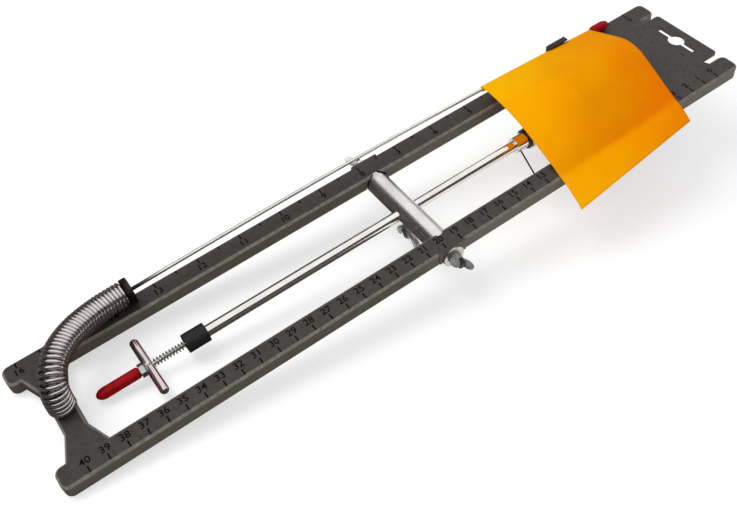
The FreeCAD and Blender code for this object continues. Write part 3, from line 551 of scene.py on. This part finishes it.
def round_off(**finishes):
    """Put a merged and smoothed copy of each CAD node in its place, with its finish."""
    slots = {part["node"]: part["material_slot"] for part in frame["record"]["subparts"]}
    for node, name in finishes.items():
        shape = bmesh.new()
        shape.from_mesh(frame["nodes"][node].data)
        bmesh.ops.remove_doubles(shape, verts=shape.verts, dist=1e-6)
        bmesh.ops.dissolve_limit(shape, angle_limit=1e-4, verts=shape.verts, edges=shape.edges)
        mesh = smooth_mesh(node + "_turned", shape, sharp_from=35)
        body = body_of(frame["nodes"][node])[0]
        new_piece(node + "_turned", mesh, name, body, slots[node], node)


def skin(shape, rows):
    """Faces between rows of points, each row with as many points as the next."""
    for first, second in zip(rows, rows[1:]):
        for corners in zip(first, second, second[1:], first[1:]):
            shape.faces.new(corners)


def lathe(profile, centre, along, steps):
    """Turn a (distance, radius) profile about a line; its ends lie on the axis or close up."""
    shape = bmesh.new()
    lean = Vector((0, 0, 1)).rotation_difference(Vector(along)).to_matrix().to_4x4()
    place = Matrix.Translation(centre) @ lean
    turns = [math.tau * step / steps for step in range(steps)]
    rings = []
    for distance, radius in profile:
        spots = [(radius * math.cos(turn), radius * math.sin(turn), distance) for turn in turns]
        if radius < 1e-7:
            spots = [(0, 0, distance)]
        rings.append([shape.verts.new(place @ Vector(spot)) for spot in spots])
    if min(profile[0][1], profile[-1][1]) > 1e-7:
        rings.append(rings[0])
    for low, high in zip(rings, rings[1:]):
        for step in range(steps):
            after = (step + 1) % steps
            corners = [low[step % len(low)], low[after % len(low)]]
            corners += [high[after % len(high)], high[step % len(high)]]
            unique = list(dict.fromkeys(corners))
            if len(unique) > 2:
                shape.faces.new(unique)
    return shape


def dome(start, depth, radius, steps):
    """Profile of a round end, from its pole to its full radius."""
    profile = [(start, 0)]
    for step in range(1, steps + 1):
        angle = math.pi / 2 * step / steps
        profile.append((start + depth * (1 - math.cos(angle)), radius * math.sin(angle)))
    return profile


def rod_axis(x, sizes):
    """Height of the bowed flag rod's axis at one place along the frame."""
    low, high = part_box("flag_rod")
    share = (x - low.x) / (high.x - low.x)
    start, end = middle("rod_ferrule").z, middle("rod_tip").z
    return start + (end - start) * share + 4 * sizes.rod_rise * share * (1 - share)


def on_axis(x):
    """A point of the tube's axis."""
    return Vector((x, AXIS.y, AXIS.z))


def around(centre, radius, angle):
    """The point of a circle at an angle, in radians."""
    return centre + radius * Vector((math.cos(angle), math.sin(angle)))


def touch(point, centre, radius, side):
    """Where a line from a point touches a circle, on its far side (1) or near side (-1)."""
    offset = point - centre
    angle = math.atan2(offset.y, offset.x) + side * math.acos(radius / offset.length)
    return around(centre, radius, angle)


def eased(path, steps):
    """A path with even steps and its corners eased."""
    reach = 0.0009
    lengths = [0.0]
    for first, second in zip(path, path[1:]):
        lengths.append(lengths[-1] + (second - first).length)
    even, index = [], 0
    for step in range(steps + 1):
        want = lengths[-1] * step / steps
        while index < len(path) - 2 and lengths[index + 1] < want:
            index += 1
        share = (want - lengths[index]) / (lengths[index + 1] - lengths[index])
        even.append(path[index].lerp(path[index + 1], share))
    pitch = lengths[-1] / steps
    width = max(1, round(reach / pitch))
    smooth = []
    for index in range(len(even)):
        span = min(width, index, len(even) - 1 - index)
        near = even[index - span:index + span + 1]
        smooth.append(sum(near, Vector((0, 0))) / len(near))
    return smooth


# ---- geometry nodes


def finish_tree(tree, geometry, given, end):
    """End a tree in Realize Instances and Set Material."""
    real = add(tree, "GeometryNodeRealizeInstances", geometry)
    coat = add(
        tree, "GeometryNodeSetMaterial", Geometry=real.outputs[0], Material=given["Material"]
    )
    feed(tree, end.inputs[0], coat.outputs[0])
    return tree


def coil_tree():
    """Tree: winds a round wire about a curve, with a set number of turns."""
    tree, given, end = node_group(
        "coil_tree", "Geometry",
        (
            ("Curve", "Geometry"), ("Coil Radius", "Float"), ("Wire Radius", "Float"),
            ("Turns", "Float"), ("Points", "Int"), ("Material", "Material"),
        ),
    )
    spread = add(tree, "GeometryNodeResampleCurve", Curve=given["Curve"], Count=given["Points"])
    share = add(tree, "GeometryNodeSplineParameter").outputs["Factor"]
    turned = compute(tree, "MULTIPLY", share, given["Turns"])
    angle = compute(tree, "MULTIPLY", turned, math.tau)
    normal = add(tree, "GeometryNodeInputNormal").outputs[0]
    tangent = add(tree, "GeometryNodeInputTangent").outputs[0]
    side = compute(tree, "CROSS_PRODUCT", tangent, normal, kind=VECTORS)
    arms = []
    for function, direction in (("COSINE", normal), ("SINE", side)):
        wave = compute(tree, function, angle)
        arms.append(compute(tree, "SCALE", direction, kind=VECTORS, Scale=wave))
    both = compute(tree, "ADD", *arms, kind=VECTORS)
    out = compute(tree, "SCALE", both, kind=VECTORS, Scale=given["Coil Radius"])
    path = add(tree, "GeometryNodeSetPosition", Geometry=spread.outputs[0], Offset=out)
    section = add(
        tree, "GeometryNodeCurvePrimitiveCircle", Resolution=12, Radius=given["Wire Radius"]
    )
    wire = add(
        tree, "GeometryNodeCurveToMesh",
        Curve=path.outputs[0], Profile_Curve=section.outputs[0], Fill_Caps=True,
    )
    return finish_tree(tree, wire.outputs[0], given, end)


def tick_tree():
    """Tree: a row of flat marks at an even pitch."""
    tree, given, end = node_group(
        "tick_tree", "Geometry",
        (
            ("Count", "Int"), ("Start", "Vector"), ("Pitch", "Vector"),
            ("Mark Size", "Vector"), ("Material", "Material"),
        ),
    )
    row = add(
        tree, "GeometryNodeMeshLine",
        Count=given["Count"], Start_Location=given["Start"], Offset=given["Pitch"],
    )
    mark = add(tree, "GeometryNodeMeshCube", Size=given["Mark Size"])
    place = add(
        tree, "GeometryNodeInstanceOnPoints", Points=row.outputs[0], Instance=mark.outputs[0]
    )
    return finish_tree(tree, place.outputs[0], given, end)


def grow(name, data, build, values):
    """The plain mesh that a tree makes from a curve or mesh with its inputs set."""
    owner = placed(name + "_source", data)
    modifier = owner.modifiers.new(name, "NODES")
    modifier.node_group = group_of(build)
    for item in modifier.node_group.interface.items_tree:
        if item.in_out == "INPUT" and item.name in values:
            modifier[item.identifier] = values[item.name]
    bpy.context.view_layer.update()
    seen = owner.evaluated_get(bpy.context.evaluated_depsgraph_get())
    mesh = bpy.data.meshes.new_from_object(seen)
    owner.modifiers.remove(modifier)
    bpy.data.objects.remove(owner)
    mesh.name = name
    mesh.shade_smooth()
    return mesh


def spline_curve(name, points):
    """A smooth open curve through a few control points."""
    curve = bpy.data.curves.new(name, "CURVE")
    curve.dimensions = "3D"
    spline = curve.splines.new("NURBS")
    spline.points.add(len(points) - 1)
    for point, spot in zip(spline.points, points):
        point.co = (*spot, 1.0)
    spline.order_u = 4
    spline.use_endpoint_u = True
    spline.resolution_u = 24
    return curve


def wound(name, points, coil_radius, wire, turns, coat):
    """A coil of round wire along a path."""
    points_each_turn = 36
    return grow(
        name, spline_curve(name, points), coil_tree,
        {
            "Coil Radius": coil_radius, "Wire Radius": wire / 2, "Turns": float(turns),
            "Points": turns * points_each_turn, "Material": finish(coat),
        },
    )


# ---- operators


class TIPUP_OT_frame(bpy.types.Operator):
    """Finish the moulded frame, the spring's seat and the rod clip"""

    bl_idname = "tipup.frame"
    bl_label = "Frame"

    def execute(self, context):
        paint(frame["nodes"]["frame"], "frame_plastic")
        paint(frame["nodes"]["rod_clip"], "black_plastic")
        round_off(spring_seat="black_plastic", seat_screw="zinc_steel")
        return {"FINISHED"}


class TIPUP_OT_scale(bpy.types.Operator):
    """Mark the centimetre and inch scales on the rails"""

    bl_idname = "tipup.scale"
    bl_label = "Scales"

    def execute(self, context):
        sizes = context.scene.tip_up_sizes
        rail = 0.0381  # centreline to the marks' outer ends
        centimetre, inch = 0.01, 0.0254
        long, short = sizes.tick_length, sizes.tick_length * 0.6
        rows = (
            ("centimetre_ticks", 41, centimetre, -1, 0, long),
            ("inch_ticks", 17, inch, 1, 0, long),
            ("half_inch_ticks", 16, inch, 1, inch / 2, short),
        )
        for name, count, pitch, side, offset, reach in rows:
            first = (sizes.scale_zero - offset, side * (rail - reach / 2), TOP)
            mesh = grow(
                name, bpy.data.meshes.new(name), tick_tree,
                {
                    "Count": count, "Start": first, "Pitch": (-pitch, 0, 0),
                    "Mark Size": (sizes.tick_width, reach, 2 * sizes.mark_proud),
                    "Material": finish("scale_marks"),
                },
            )
            mesh.shade_flat()
            new_piece(name, mesh, None, "frame", "frame_plastic")
        numbers = (
            ("centimetre_numbers", 41, centimetre, -0.0316),
            ("inch_numbers", 17, inch, 0.0318),
        )
        for name, count, pitch, middle_y in numbers:
            mesh = self.numbers(name, count, pitch, middle_y, sizes)
            new_piece(name, mesh, "scale_marks", "frame", "frame_plastic")
        return {"FINISHED"}

    def numbers(self, name, count, pitch, middle_y, sizes):
        """One mesh of numbers at an even pitch."""
        text_size = 1.35 * sizes.digit  # a digit is lower than its text size
        joined = bmesh.new()
        for value in range(count):
            text = bpy.data.curves.new(name, "FONT")
            text.body = str(value)
            text.align_x = text.align_y = "CENTER"
            text.size = text_size
            text.resolution_u = 3
            text.offset = sizes.digit_weight
            text.extrude = sizes.mark_proud
            owner = bpy.data.objects.new(name, text)
            mesh = bpy.data.meshes.new_from_object(owner)
            place = (sizes.scale_zero - pitch * value, middle_y, TOP)
            mesh.transform(Matrix.Translation(place))
            joined.from_mesh(mesh)
            bpy.data.objects.remove(owner)
        return mesh_of(name, joined)


class TIPUP_OT_flag_spring(bpy.types.Operator):
    """Wind the flag's coil spring from its seat to the rod's ferrule"""

    bl_idname = "tipup.flag_spring"
    bl_label = "Flag spring"

    def execute(self, context):
        sizes = context.scene.tip_up_sizes
        wire = sizes.spring_wire
        slimmer, shorter = 0.0003, 0.0035  # coil within the ferrule's radius and right end
        ring_low, ring_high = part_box("rod_ferrule")
        radius = (ring_high.z - ring_low.z) / 2 - slimmer - wire / 2
        foot, end = middle("spring_seat"), middle("rod_ferrule")
        foot.z = TOP + wire / 2
        end.x = ring_high.x - shorter - wire / 2
        rise, run = Vector((0, 0, sizes.spring_rise)), Vector((sizes.spring_run, 0, 0))
        points = [foot, foot + rise, end - run, end]
        mesh = wound("flag_coil", points, radius, wire, sizes.spring_turns, "spring_chrome")
        coil = new_piece("flag_coil", mesh, None, None, "spring_chrome", "flag_spring")
        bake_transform(coil, "frame", "arm", start=(foot.x, foot.y, TOP), end=(end.x, end.y, end.z))
        return {"FINISHED"}


class TIPUP_OT_flag_rod(bpy.types.Operator):
    """Finish the rod with its ferrule and red tip"""

    bl_idname = "tipup.flag_rod"
    bl_label = "Flag rod"

    def execute(self, context):
        round_off(flag_rod="rod_steel", rod_ferrule="dark_steel")
        low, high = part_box("rod_tip")
        span, radius = high.x - low.x, (high.z - low.z) / 2
        even, blunt = 0.55, 0.8  # share of the length before the round end, and its bluntness
        start = ((0, 0), (0, 0.72), (0.04, 0.9), (0.14, 1), (even, 1))  # shares, as (along, wide)
        profile = [(span * along, radius * wide) for along, wide in start]
        for step in range(1, 9):
            angle = math.pi / 2 * step / 8
            along = even + (1 - even) * math.sin(angle)
            profile.append((span * along, radius * math.cos(angle) ** blunt))
        foot = middle("rod_tip")
        foot.x = low.x
        shape = lathe(profile, foot, (1, 0, 0), 40)
        closed_piece("rod_dip", shape, "red_dip", "arm", "red_dip", "rod_tip", sharp_from=60)
        return {"FINISHED"}


class TIPUP_OT_flag(bpy.types.Operator):
    """Drape the flag film from the rod over the spool and the near rail"""

    bl_idname = "tipup.flag"
    bl_label = "Flag"

    def execute(self, context):
        sizes = context.scene.tip_up_sizes
        columns, path_steps = 84, 110
        shape = bmesh.new()
        rows = []
        for column in range(columns + 1):
            path = self.section(column / columns, sizes, path_steps)
            rows.append([shape.verts.new(spot) for spot in path])
        skin(shape, rows)
        area = sum(face.calc_area() for face in shape.faces)
        mesh = mesh_of("flag_film", shape)
        mesh.shade_smooth()
        flag = new_piece("flag_film", mesh, "flag_film", "arm", "flag_sheet", "flag")
        thick = flag.modifiers.new("thickness", "SOLIDIFY")
        thick.thickness = sizes.film
        thick.offset = 0
        return {"FINISHED"}

    def section(self, across, sizes, steps):
        """One strip of the film, from its seam round the rod to its free edge."""
        past_washer = 0.0017  # the near washer's inner edge to the crease
        sleeve_top = 1.08  # the film over the rod's axis, in sleeve radii
        wrap, wrap_steps = math.radians(310), 20  # how far the seam goes round the rod
        drape_steps, flap_steps = 60, 20
        flap_drop, flap_bulge = 0.0075, 0.0009  # free edge under the top face, and its curve
        spool_low, spool_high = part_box("spool")
        reach = (spool_high.z - spool_low.z) / 2 + 2 * GAP
        rod_y = middle("flag_rod").y
        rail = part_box("near_washer")[1].y + past_washer
        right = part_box("flag")[1].x
        edge_y = rail - sizes.flag_reach + sizes.flag_taper * across
        crease = Vector((rail, TOP + GAP + sizes.flag_float * across ** 3))

        def x_at(y):
            share = (rod_y - y) / (rod_y - edge_y)
            start = right - sizes.flag_width - sizes.flag_skew_left * share
            end = right - sizes.flag_skew_right * share
            return start + (end - start) * across

        rod = Vector((rod_y, rod_axis(x_at(rod_y), sizes)))
        head = rod + Vector((0, sizes.sleeve * sleeve_top))
        centre = Vector((AXIS.y, AXIS.z))
        far = touch(head, centre, reach, 1)
        near = touch(crease, centre, reach, -1)

        def height(y):
            share = (head.x - y) / (head.x - crease.x)
            hump = 4 * sizes.flag_sag * share * (1 - share)
            straight = head.y + (crease.y - head.y) * share + hump
            if y > far.x:
                held = head.y + (far.y - head.y) * (head.x - y) / (head.x - far.x)
            elif y < near.x:
                held = crease.y + (near.y - crease.y) * (y - crease.x) / (near.x - crease.x)
            else:
                held = centre.y + math.sqrt(reach ** 2 - (y - centre.x) ** 2)
            pull = self.pull(x_at(y), spool_low.x, spool_high.x)
            return straight + (held - straight) * pull

        little = 0.001
        rise = (height(head.x - little) - head.y) / little
        leave = math.pi / 2 - math.atan(rise)
        turns = [leave - wrap * (1 - step / wrap_steps) for step in range(wrap_steps)]
        loop = [around(rod, sizes.sleeve, turn) for turn in turns]
        start = around(rod, sizes.sleeve, leave)
        drape = [start]
        for step in range(1, drape_steps):
            y = start.x + (crease.x - start.x) * step / drape_steps
            drape.append(Vector((y, height(y))))
        edge = Vector((edge_y, TOP - flap_drop + sizes.flag_lift * across))
        for step in range(flap_steps + 1):
            share = step / flap_steps
            bulge = flap_bulge * math.sin(math.pi * share)
            drape.append(crease.lerp(edge, share) + Vector((0, bulge)))
        path = loop + eased(drape, steps)
        return [Vector((x_at(spot.x), spot.x, spot.y)) for spot in path]

    def pull(self, x, spool_left, spool_right):
        """How far the film follows the spool at one place along the frame, from 0 up to 1."""
        ahead, onset = 0.029, 0.037  # starts this far left of the spool, over this length
        flange = 0.008  # length of the spool's left end, before its waist
        dip, fall, fall_run = 0.035, 0.12, 0.019  # at the waist, and right of the spool
        left = min(1, max(0, (x - spool_left + ahead) / onset))
        pull = left * (1.3 - 0.3 * left ** 2)
        waist = spool_left + flange
        if waist < x < spool_right:
            pull -= dip * math.sin(math.pi * (x - waist) / (spool_right - waist)) ** 2
        if x > spool_right:
            pull -= fall * min(1, (x - spool_right) / fall_run) ** 1.5
        return pull


class TIPUP_OT_cross_bar(bpy.types.Operator):
    """Finish the cross bar with its studs, washers and wing nuts"""

    bl_idname = "tipup.cross_bar"
    bl_label = "Cross bar"

    def execute(self, context):
        round_off(
            cross_bar="satin_aluminium", near_stud="dark_steel", near_washer="washer_steel",
            far_stud="dark_steel", far_washer="washer_steel",
        )
        for side, coat in (("near", "wing_nut_plastic"), ("far", "pale_nut_plastic")):
            self.nut(side, coat, context.scene.tip_up_sizes)
        round_off(clamp_screw="zinc_steel")
        return {"FINISHED"}

    def nut(self, side, coat, sizes):
        """A wing nut: a stepped hub on the stud, and two oval ribbed wings that lean outwards."""
        node = side + "_wing_nut"
        low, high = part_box(node)
        out = 1 if low.y > 0 else -1
        foot = Vector((0, low.y if out > 0 else high.y, (low.z + high.z) / 2))
        stud_low, stud_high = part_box(side + "_stud")
        play, hub_share = 0.00005, 0.42  # in the hole, and of the nut's whole height
        hole = (stud_high.x - stud_low.x) / 2 + play
        rise = (high.y - low.y) * hub_share
        profile = [
            (0, hole), (0, 0.0036), (0.0007, 0.0037), (0.0012, 0.0032), (rise * 0.8, 0.0031),
            (rise, 0.0029), (rise, hole),
        ]
        shape = lathe(profile, foot, (0, out, 0), 48)
        for turn in (-45, 135):
            ahead = Vector((math.cos(math.radians(turn)), 0, math.sin(math.radians(turn))))
            self.wing(shape, foot, ahead, Vector((0, out, 0)), sizes)
        body = side + "_nut"
        closed_piece(node + "_ribbed", shape, coat, body, "nut_plastic", node, sharp_from=50)

    def wing(self, shape, foot, ahead, out, sizes):
        """One oval wing: a cushion with ribs across it."""
        lean, offset = math.radians(46), 0.0055  # offset of its middle, outwards and upwards
        rib_pitch, rib_share = 0.0014, 0.09
        long = ahead * math.cos(lean) + out * math.sin(lean)
        wide = ahead * -math.sin(lean) + out * math.cos(lean)
        across = long.cross(wide)
        centre = foot + ahead * offset + out * offset
        rings, spokes = 16, 48
        for face in (1, -1):
            grid = []
            for ring in range(rings + 1):
                share = ring / rings
                row = []
                for spoke in range(spokes):
                    angle = math.tau * spoke / spokes
                    first = share * sizes.wing_long * math.cos(angle)
                    second = share * sizes.wing_wide * math.sin(angle)
                    ribs = 1 + rib_share * math.cos(math.tau * second / rib_pitch)
                    thick = sizes.wing_thick * (1 - share ** 4) ** 0.5 * ribs
                    spot = centre + long * first + wide * second + across * face * thick
                    row.append(shape.verts.new(spot))
                grid.append(row + row[:1])
            skin(shape, grid)


class TIPUP_OT_tube(bpy.types.Operator):
    """Finish the tube with its cap, bushes, collar, seals and line guide"""

    bl_idname = "tipup.tube"
    bl_label = "Tube"

    def execute(self, context):
        round_off(
            main_tube="tube_chrome", tube_cap="black_plastic", left_bush="bush_nylon",
            right_bush="bush_nylon", collar="collar_steel", inner_seal="seal_rubber",
            steel_ring="collar_steel", outer_seal="seal_rubber", line_guide="dark_steel",
        )
        return {"FINISHED"}


class TIPUP_OT_trigger(bpy.types.Operator):
    """Finish the shaft, the spool, the trigger bar, its spring and the red grip"""

    bl_idname = "tipup.trigger"
    bl_label = "Trigger"

    def execute(self, context):
        sizes = context.scene.tip_up_sizes
        round_off(
            trigger_shaft="rod_steel", trigger_nut="zinc_steel", spool="spool_plastic",
            spool_nut="zinc_steel",
        )
        self.grip()
        self.bar(sizes)
        low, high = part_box("trigger_spring")
        wire = sizes.small_wire
        start, end = on_axis(low.x + wire / 2), on_axis(high.x - wire / 2)
        points = [start.lerp(end, step / 3) for step in range(4)]
        radius = (high.z - low.z - wire) / 2
        mesh = wound("trigger_coil", points, radius, wire, sizes.small_turns, "spring_zinc")
        new_piece("trigger_coil", mesh, None, "spindle", "zinc_steel", "trigger_spring")
        return {"FINISHED"}

    def grip(self):
        """The dipped grip: a round nose, a long even body and a lip where the dip ends."""
        low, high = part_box("handle_grip")
        span, radius = high.x - low.x, (high.z - low.z) / 2
        # shares of the length and of the radius
        body = ((0.55, 0.985), (0.9, 1), (0.965, 0.97), (0.99, 0.8), (1, 0.55), (1, 0))
        profile = dome(0, span * 0.2, radius, 12)
        profile += [(span * along, radius * wide) for along, wide in body]
        shape = lathe(profile, on_axis(low.x), (1, 0, 0), 48)
        rest = "red_dip", "spindle", "red_dip", "handle_grip"
        closed_piece("grip_dip", shape, *rest, sharp_from=60)

    def bar(self, sizes):
        """The trigger bar: a bright rod with domed ends and a punch mark in its middle."""
        low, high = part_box("trigger_bar")
        radius, reach = (high.x - low.x) / 2, (high.y - low.y) / 2
        punch_depth = 0.5  # as a share of the mark's radius
        half = dome(-reach, radius * 0.8, radius, 8) + [(-reach * 0.3, radius)]
        waist = [(sizes.punch * (step / 4 - 1.5), radius) for step in range(13)]
        profile = half + waist + [(-distance, size) for distance, size in reversed(half)]
        centre = on_axis((low.x + high.x) / 2)
        shape = lathe(profile, centre, (0, 1, 0), 96)
        for vert in shape.verts:
            away = vert.co - centre
            if away.z > 0:
                near = math.hypot(away.x, away.y) / sizes.punch
                vert.co.z -= punch_depth * sizes.punch * max(0, 1 - near ** 2)
        rest = "bar_chrome", "spindle", "tube_chrome", "trigger_bar"
        closed_piece("punched_bar", shape, *rest, sharp_from=50)


class TIPUP_OT_stage(bpy.types.Operator):
    """Make the pale floor, the soft lights and the camera"""

    bl_idname = "tipup.stage"
    bl_label = "Stage"

    def execute(self, context):
        stage = context.scene.tip_up_stage
        context.scene.view_settings.view_transform = "Standard"
        self.floor()
        self.world(context.scene, stage)
        self.lamp("key_lamp", (-0.25, 0.35, 0.75), 0.55, stage.key)
        self.lamp("fill_lamp", (0.1, -0.75, 0.45), 0.7, stage.fill)
        self.curtain(stage)
        self.dark_mat(stage)
        self.camera(context.scene, stage)
        return {"FINISHED"}

    def curtain(self, stage):
        """A dark curtain all round, low on the right, for metal to mirror."""
        shape = bmesh.new()
        rows = []
        pitch, levels = 3, 12
        for step in range(360 // pitch + 1):
            share = pitch * step / (stage.curtain_end - stage.curtain_start)
            rise = stage.curtain_rise + (stage.curtain_fall - stage.curtain_rise) * share
            turn = stage.curtain_start + pitch * step
            if share > 1:
                past = turn > 360 + stage.curtain_step
                rise = stage.curtain_far if past else stage.curtain_low
            turn, rise = math.radians(turn), math.radians(rise)
            row = []
            for level in range(levels + 1):
                lift = rise * level / levels
                flat = stage.curtain_reach * math.cos(lift)
                height = stage.curtain_reach * math.sin(lift)
                spot = Vector((flat * math.cos(turn), flat * math.sin(turn), height))
                row.append(shape.verts.new(spot))
            rows.append(row)
        skin(shape, rows)
        self.dark_piece("curtain", shape)

    def dark_mat(self, stage):
        """A dark mat on the floor, left of the cross bar, for metal to mirror."""
        long, wide, lift = 0.75, 0.9, 0.0006
        shift = Matrix.Translation((-0.5 - stage.mat_gap / long, 0, 0))
        size = Matrix.Diagonal((long, wide, 1, 1)) @ shift
        self.dark_piece("dark_mat", self.ground(size, lift, segments=2))

    def dark_piece(self, name, shape):
        """Part of the stage that is dark and seen by mirror rays alone."""
        made, tree, shader = new_material(name)
        folds = noise(tree, 3.0, 2.0)
        tint = between(tree, folds, (0.02, 0.017, 0.015, 1), (0.09, 0.08, 0.075, 1))
        fit(tree, shader, Base_Color=tint, Roughness=0.9)
        piece = placed(name, mesh_of(name, shape))
        piece.data.materials.append(made)
        for ray in ("camera", "diffuse", "shadow", "transmission"):
            setattr(piece, "visible_" + ray, False)

    def ground(self, size, lift=0.0, segments=1):
        """A flat sheet through the left ears' underside and the clamp screw's wing tips."""
        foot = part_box("clamp_screw")[0].z
        slope = math.atan2(-foot, -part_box("frame")[0].x)
        place = Matrix.Translation((0, 0, foot + lift)) @ Matrix.Rotation(slope, 4, "Y")
        shape = bmesh.new()
        bmesh.ops.create_grid(shape, x_segments=segments, y_segments=segments, size=0.5)
        bmesh.ops.transform(shape, matrix=place @ size, verts=shape.verts)
        return shape

    def floor(self):
        """The pale floor, 6 m square, on which the tip-up stands."""
        floor = placed("floor", mesh_of("floor", self.ground(Matrix.Scale(6, 4))))
        floor.data.materials.append(self.floor_material())

    def floor_material(self):
        """Pale floor that keeps soft shadows and turns white where the light is full."""
        made, tree, shader = new_material("pale_floor")
        fit(tree, shader, Base_Color=(0.86, 0.86, 0.85, 1), Roughness=0.35)
        glow = add(tree, "ShaderNodeEmission")
        seen = add(tree, "ShaderNodeLightPath").outputs["Is Camera Ray"]
        share = compute(tree, "MULTIPLY", seen, 0.55)
        mixed(tree, share, shader, glow, "Material Output")
        return made

    def world(self, scene, stage):
        """Light from all round, and plain white where it is seen or mirrored."""
        world = bpy.data.worlds.new("studio")
        world.use_nodes = True
        scene.world = world
        tree = world.node_tree
        light = tree.nodes["Background"]
        fit(tree, light, Color=(0.97, 0.985, 1.0, 1), Strength=stage.world)
        white = add(tree, "ShaderNodeBackground", Color=(1, 1, 1, 1), Strength=1.0)
        rays = add(tree, "ShaderNodeLightPath").outputs
        share = rays["Is Camera Ray"]
        for kind in ("Is Glossy Ray", "Is Transmission Ray"):
            share = compute(tree, "MAXIMUM", share, rays[kind])
        mixed(tree, share, light, white, "World Output")

    def lamp(self, name, place, size, power):
        """A square soft lamp that faces the object."""
        light = bpy.data.lights.new(name, "AREA")
        light.size = size
        light.energy = power
        lamp = placed(name, light)
        lamp.location = place
        lamp.visible_glossy = False
        lamp.rotation_euler = (-Vector(place)).to_track_quat("-Z", "Y").to_euler()

    def camera(self, scene, stage):
        """The camera, aimed at a point on the tube left of the cross bar."""
        aim = Vector((-0.0365, -0.0164, TOP - 0.0023))
        turns = (stage.azimuth, stage.elevation, stage.roll)
        azimuth, elevation, roll = (math.radians(turn) for turn in turns)
        ahead = Vector((
            math.sin(azimuth) * math.cos(elevation),
            math.cos(azimuth) * math.cos(elevation),
            -math.sin(elevation),
        ))
        level = Vector((math.cos(azimuth), -math.sin(azimuth), 0))
        upright = level.cross(ahead)
        right = math.cos(roll) * level + math.sin(roll) * upright
        up = math.cos(roll) * upright - math.sin(roll) * level
        turn = Matrix((right, up, -ahead)).transposed().to_4x4()
        data = bpy.data.cameras.new("camera")
        data.lens = stage.lens
        data.sensor_width = 36.0
        data.clip_start = 0.01
        camera = placed("camera", data)
        camera.matrix_world = Matrix.Translation(aim - ahead * stage.distance) @ turn
        scene.camera = camera


PIECES = (
    TIPUP_OT_frame, TIPUP_OT_scale, TIPUP_OT_flag_spring, TIPUP_OT_flag_rod, TIPUP_OT_flag,
    TIPUP_OT_cross_bar, TIPUP_OT_tube, TIPUP_OT_trigger, TIPUP_OT_stage,
)


class TIPUP_PT_panel(bpy.types.Panel):
    """Lists the pieces in the sidebar"""

    bl_idname = "TIPUP_PT_panel"
    bl_label = "Tip-up"
    bl_space_type = "VIEW_3D"
    bl_region_type = "UI"
    bl_category = "Tip-up"

    def draw(self, context):
        for piece in PIECES:
            self.layout.operator(piece.bl_idname)


GROUPS = (
    ("tip_up_colours", TipUpColours), ("tip_up_sizes", TipUpSizes), ("tip_up_stage", TipUpStage),
)


def register():
    """Register the settings, the operators and the panel."""
    for name, group in GROUPS:
        bpy.utils.register_class(group)
        setattr(bpy.types.Scene, name, PointerProperty(type=group))
    for item in PIECES + (TIPUP_PT_panel,):
        bpy.utils.register_class(item)


def unregister():
    """Take everything back out."""
    for item in reversed(PIECES + (TIPUP_PT_panel,)):
        bpy.utils.unregister_class(item)
    for name, group in GROUPS:
        delattr(bpy.types.Scene, name)
        bpy.utils.unregister_class(group)


def main():
    """Make every piece in order."""
    register()
    bpy.ops.tipup.frame()
    bpy.ops.tipup.scale()
    bpy.ops.tipup.flag_spring()
    bpy.ops.tipup.flag_rod()
    bpy.ops.tipup.flag()
    bpy.ops.tipup.cross_bar()
    bpy.ops.tipup.tube()
    bpy.ops.tipup.trigger()
    bpy.ops.tipup.stage()


if __name__ == "__main__":
    main()
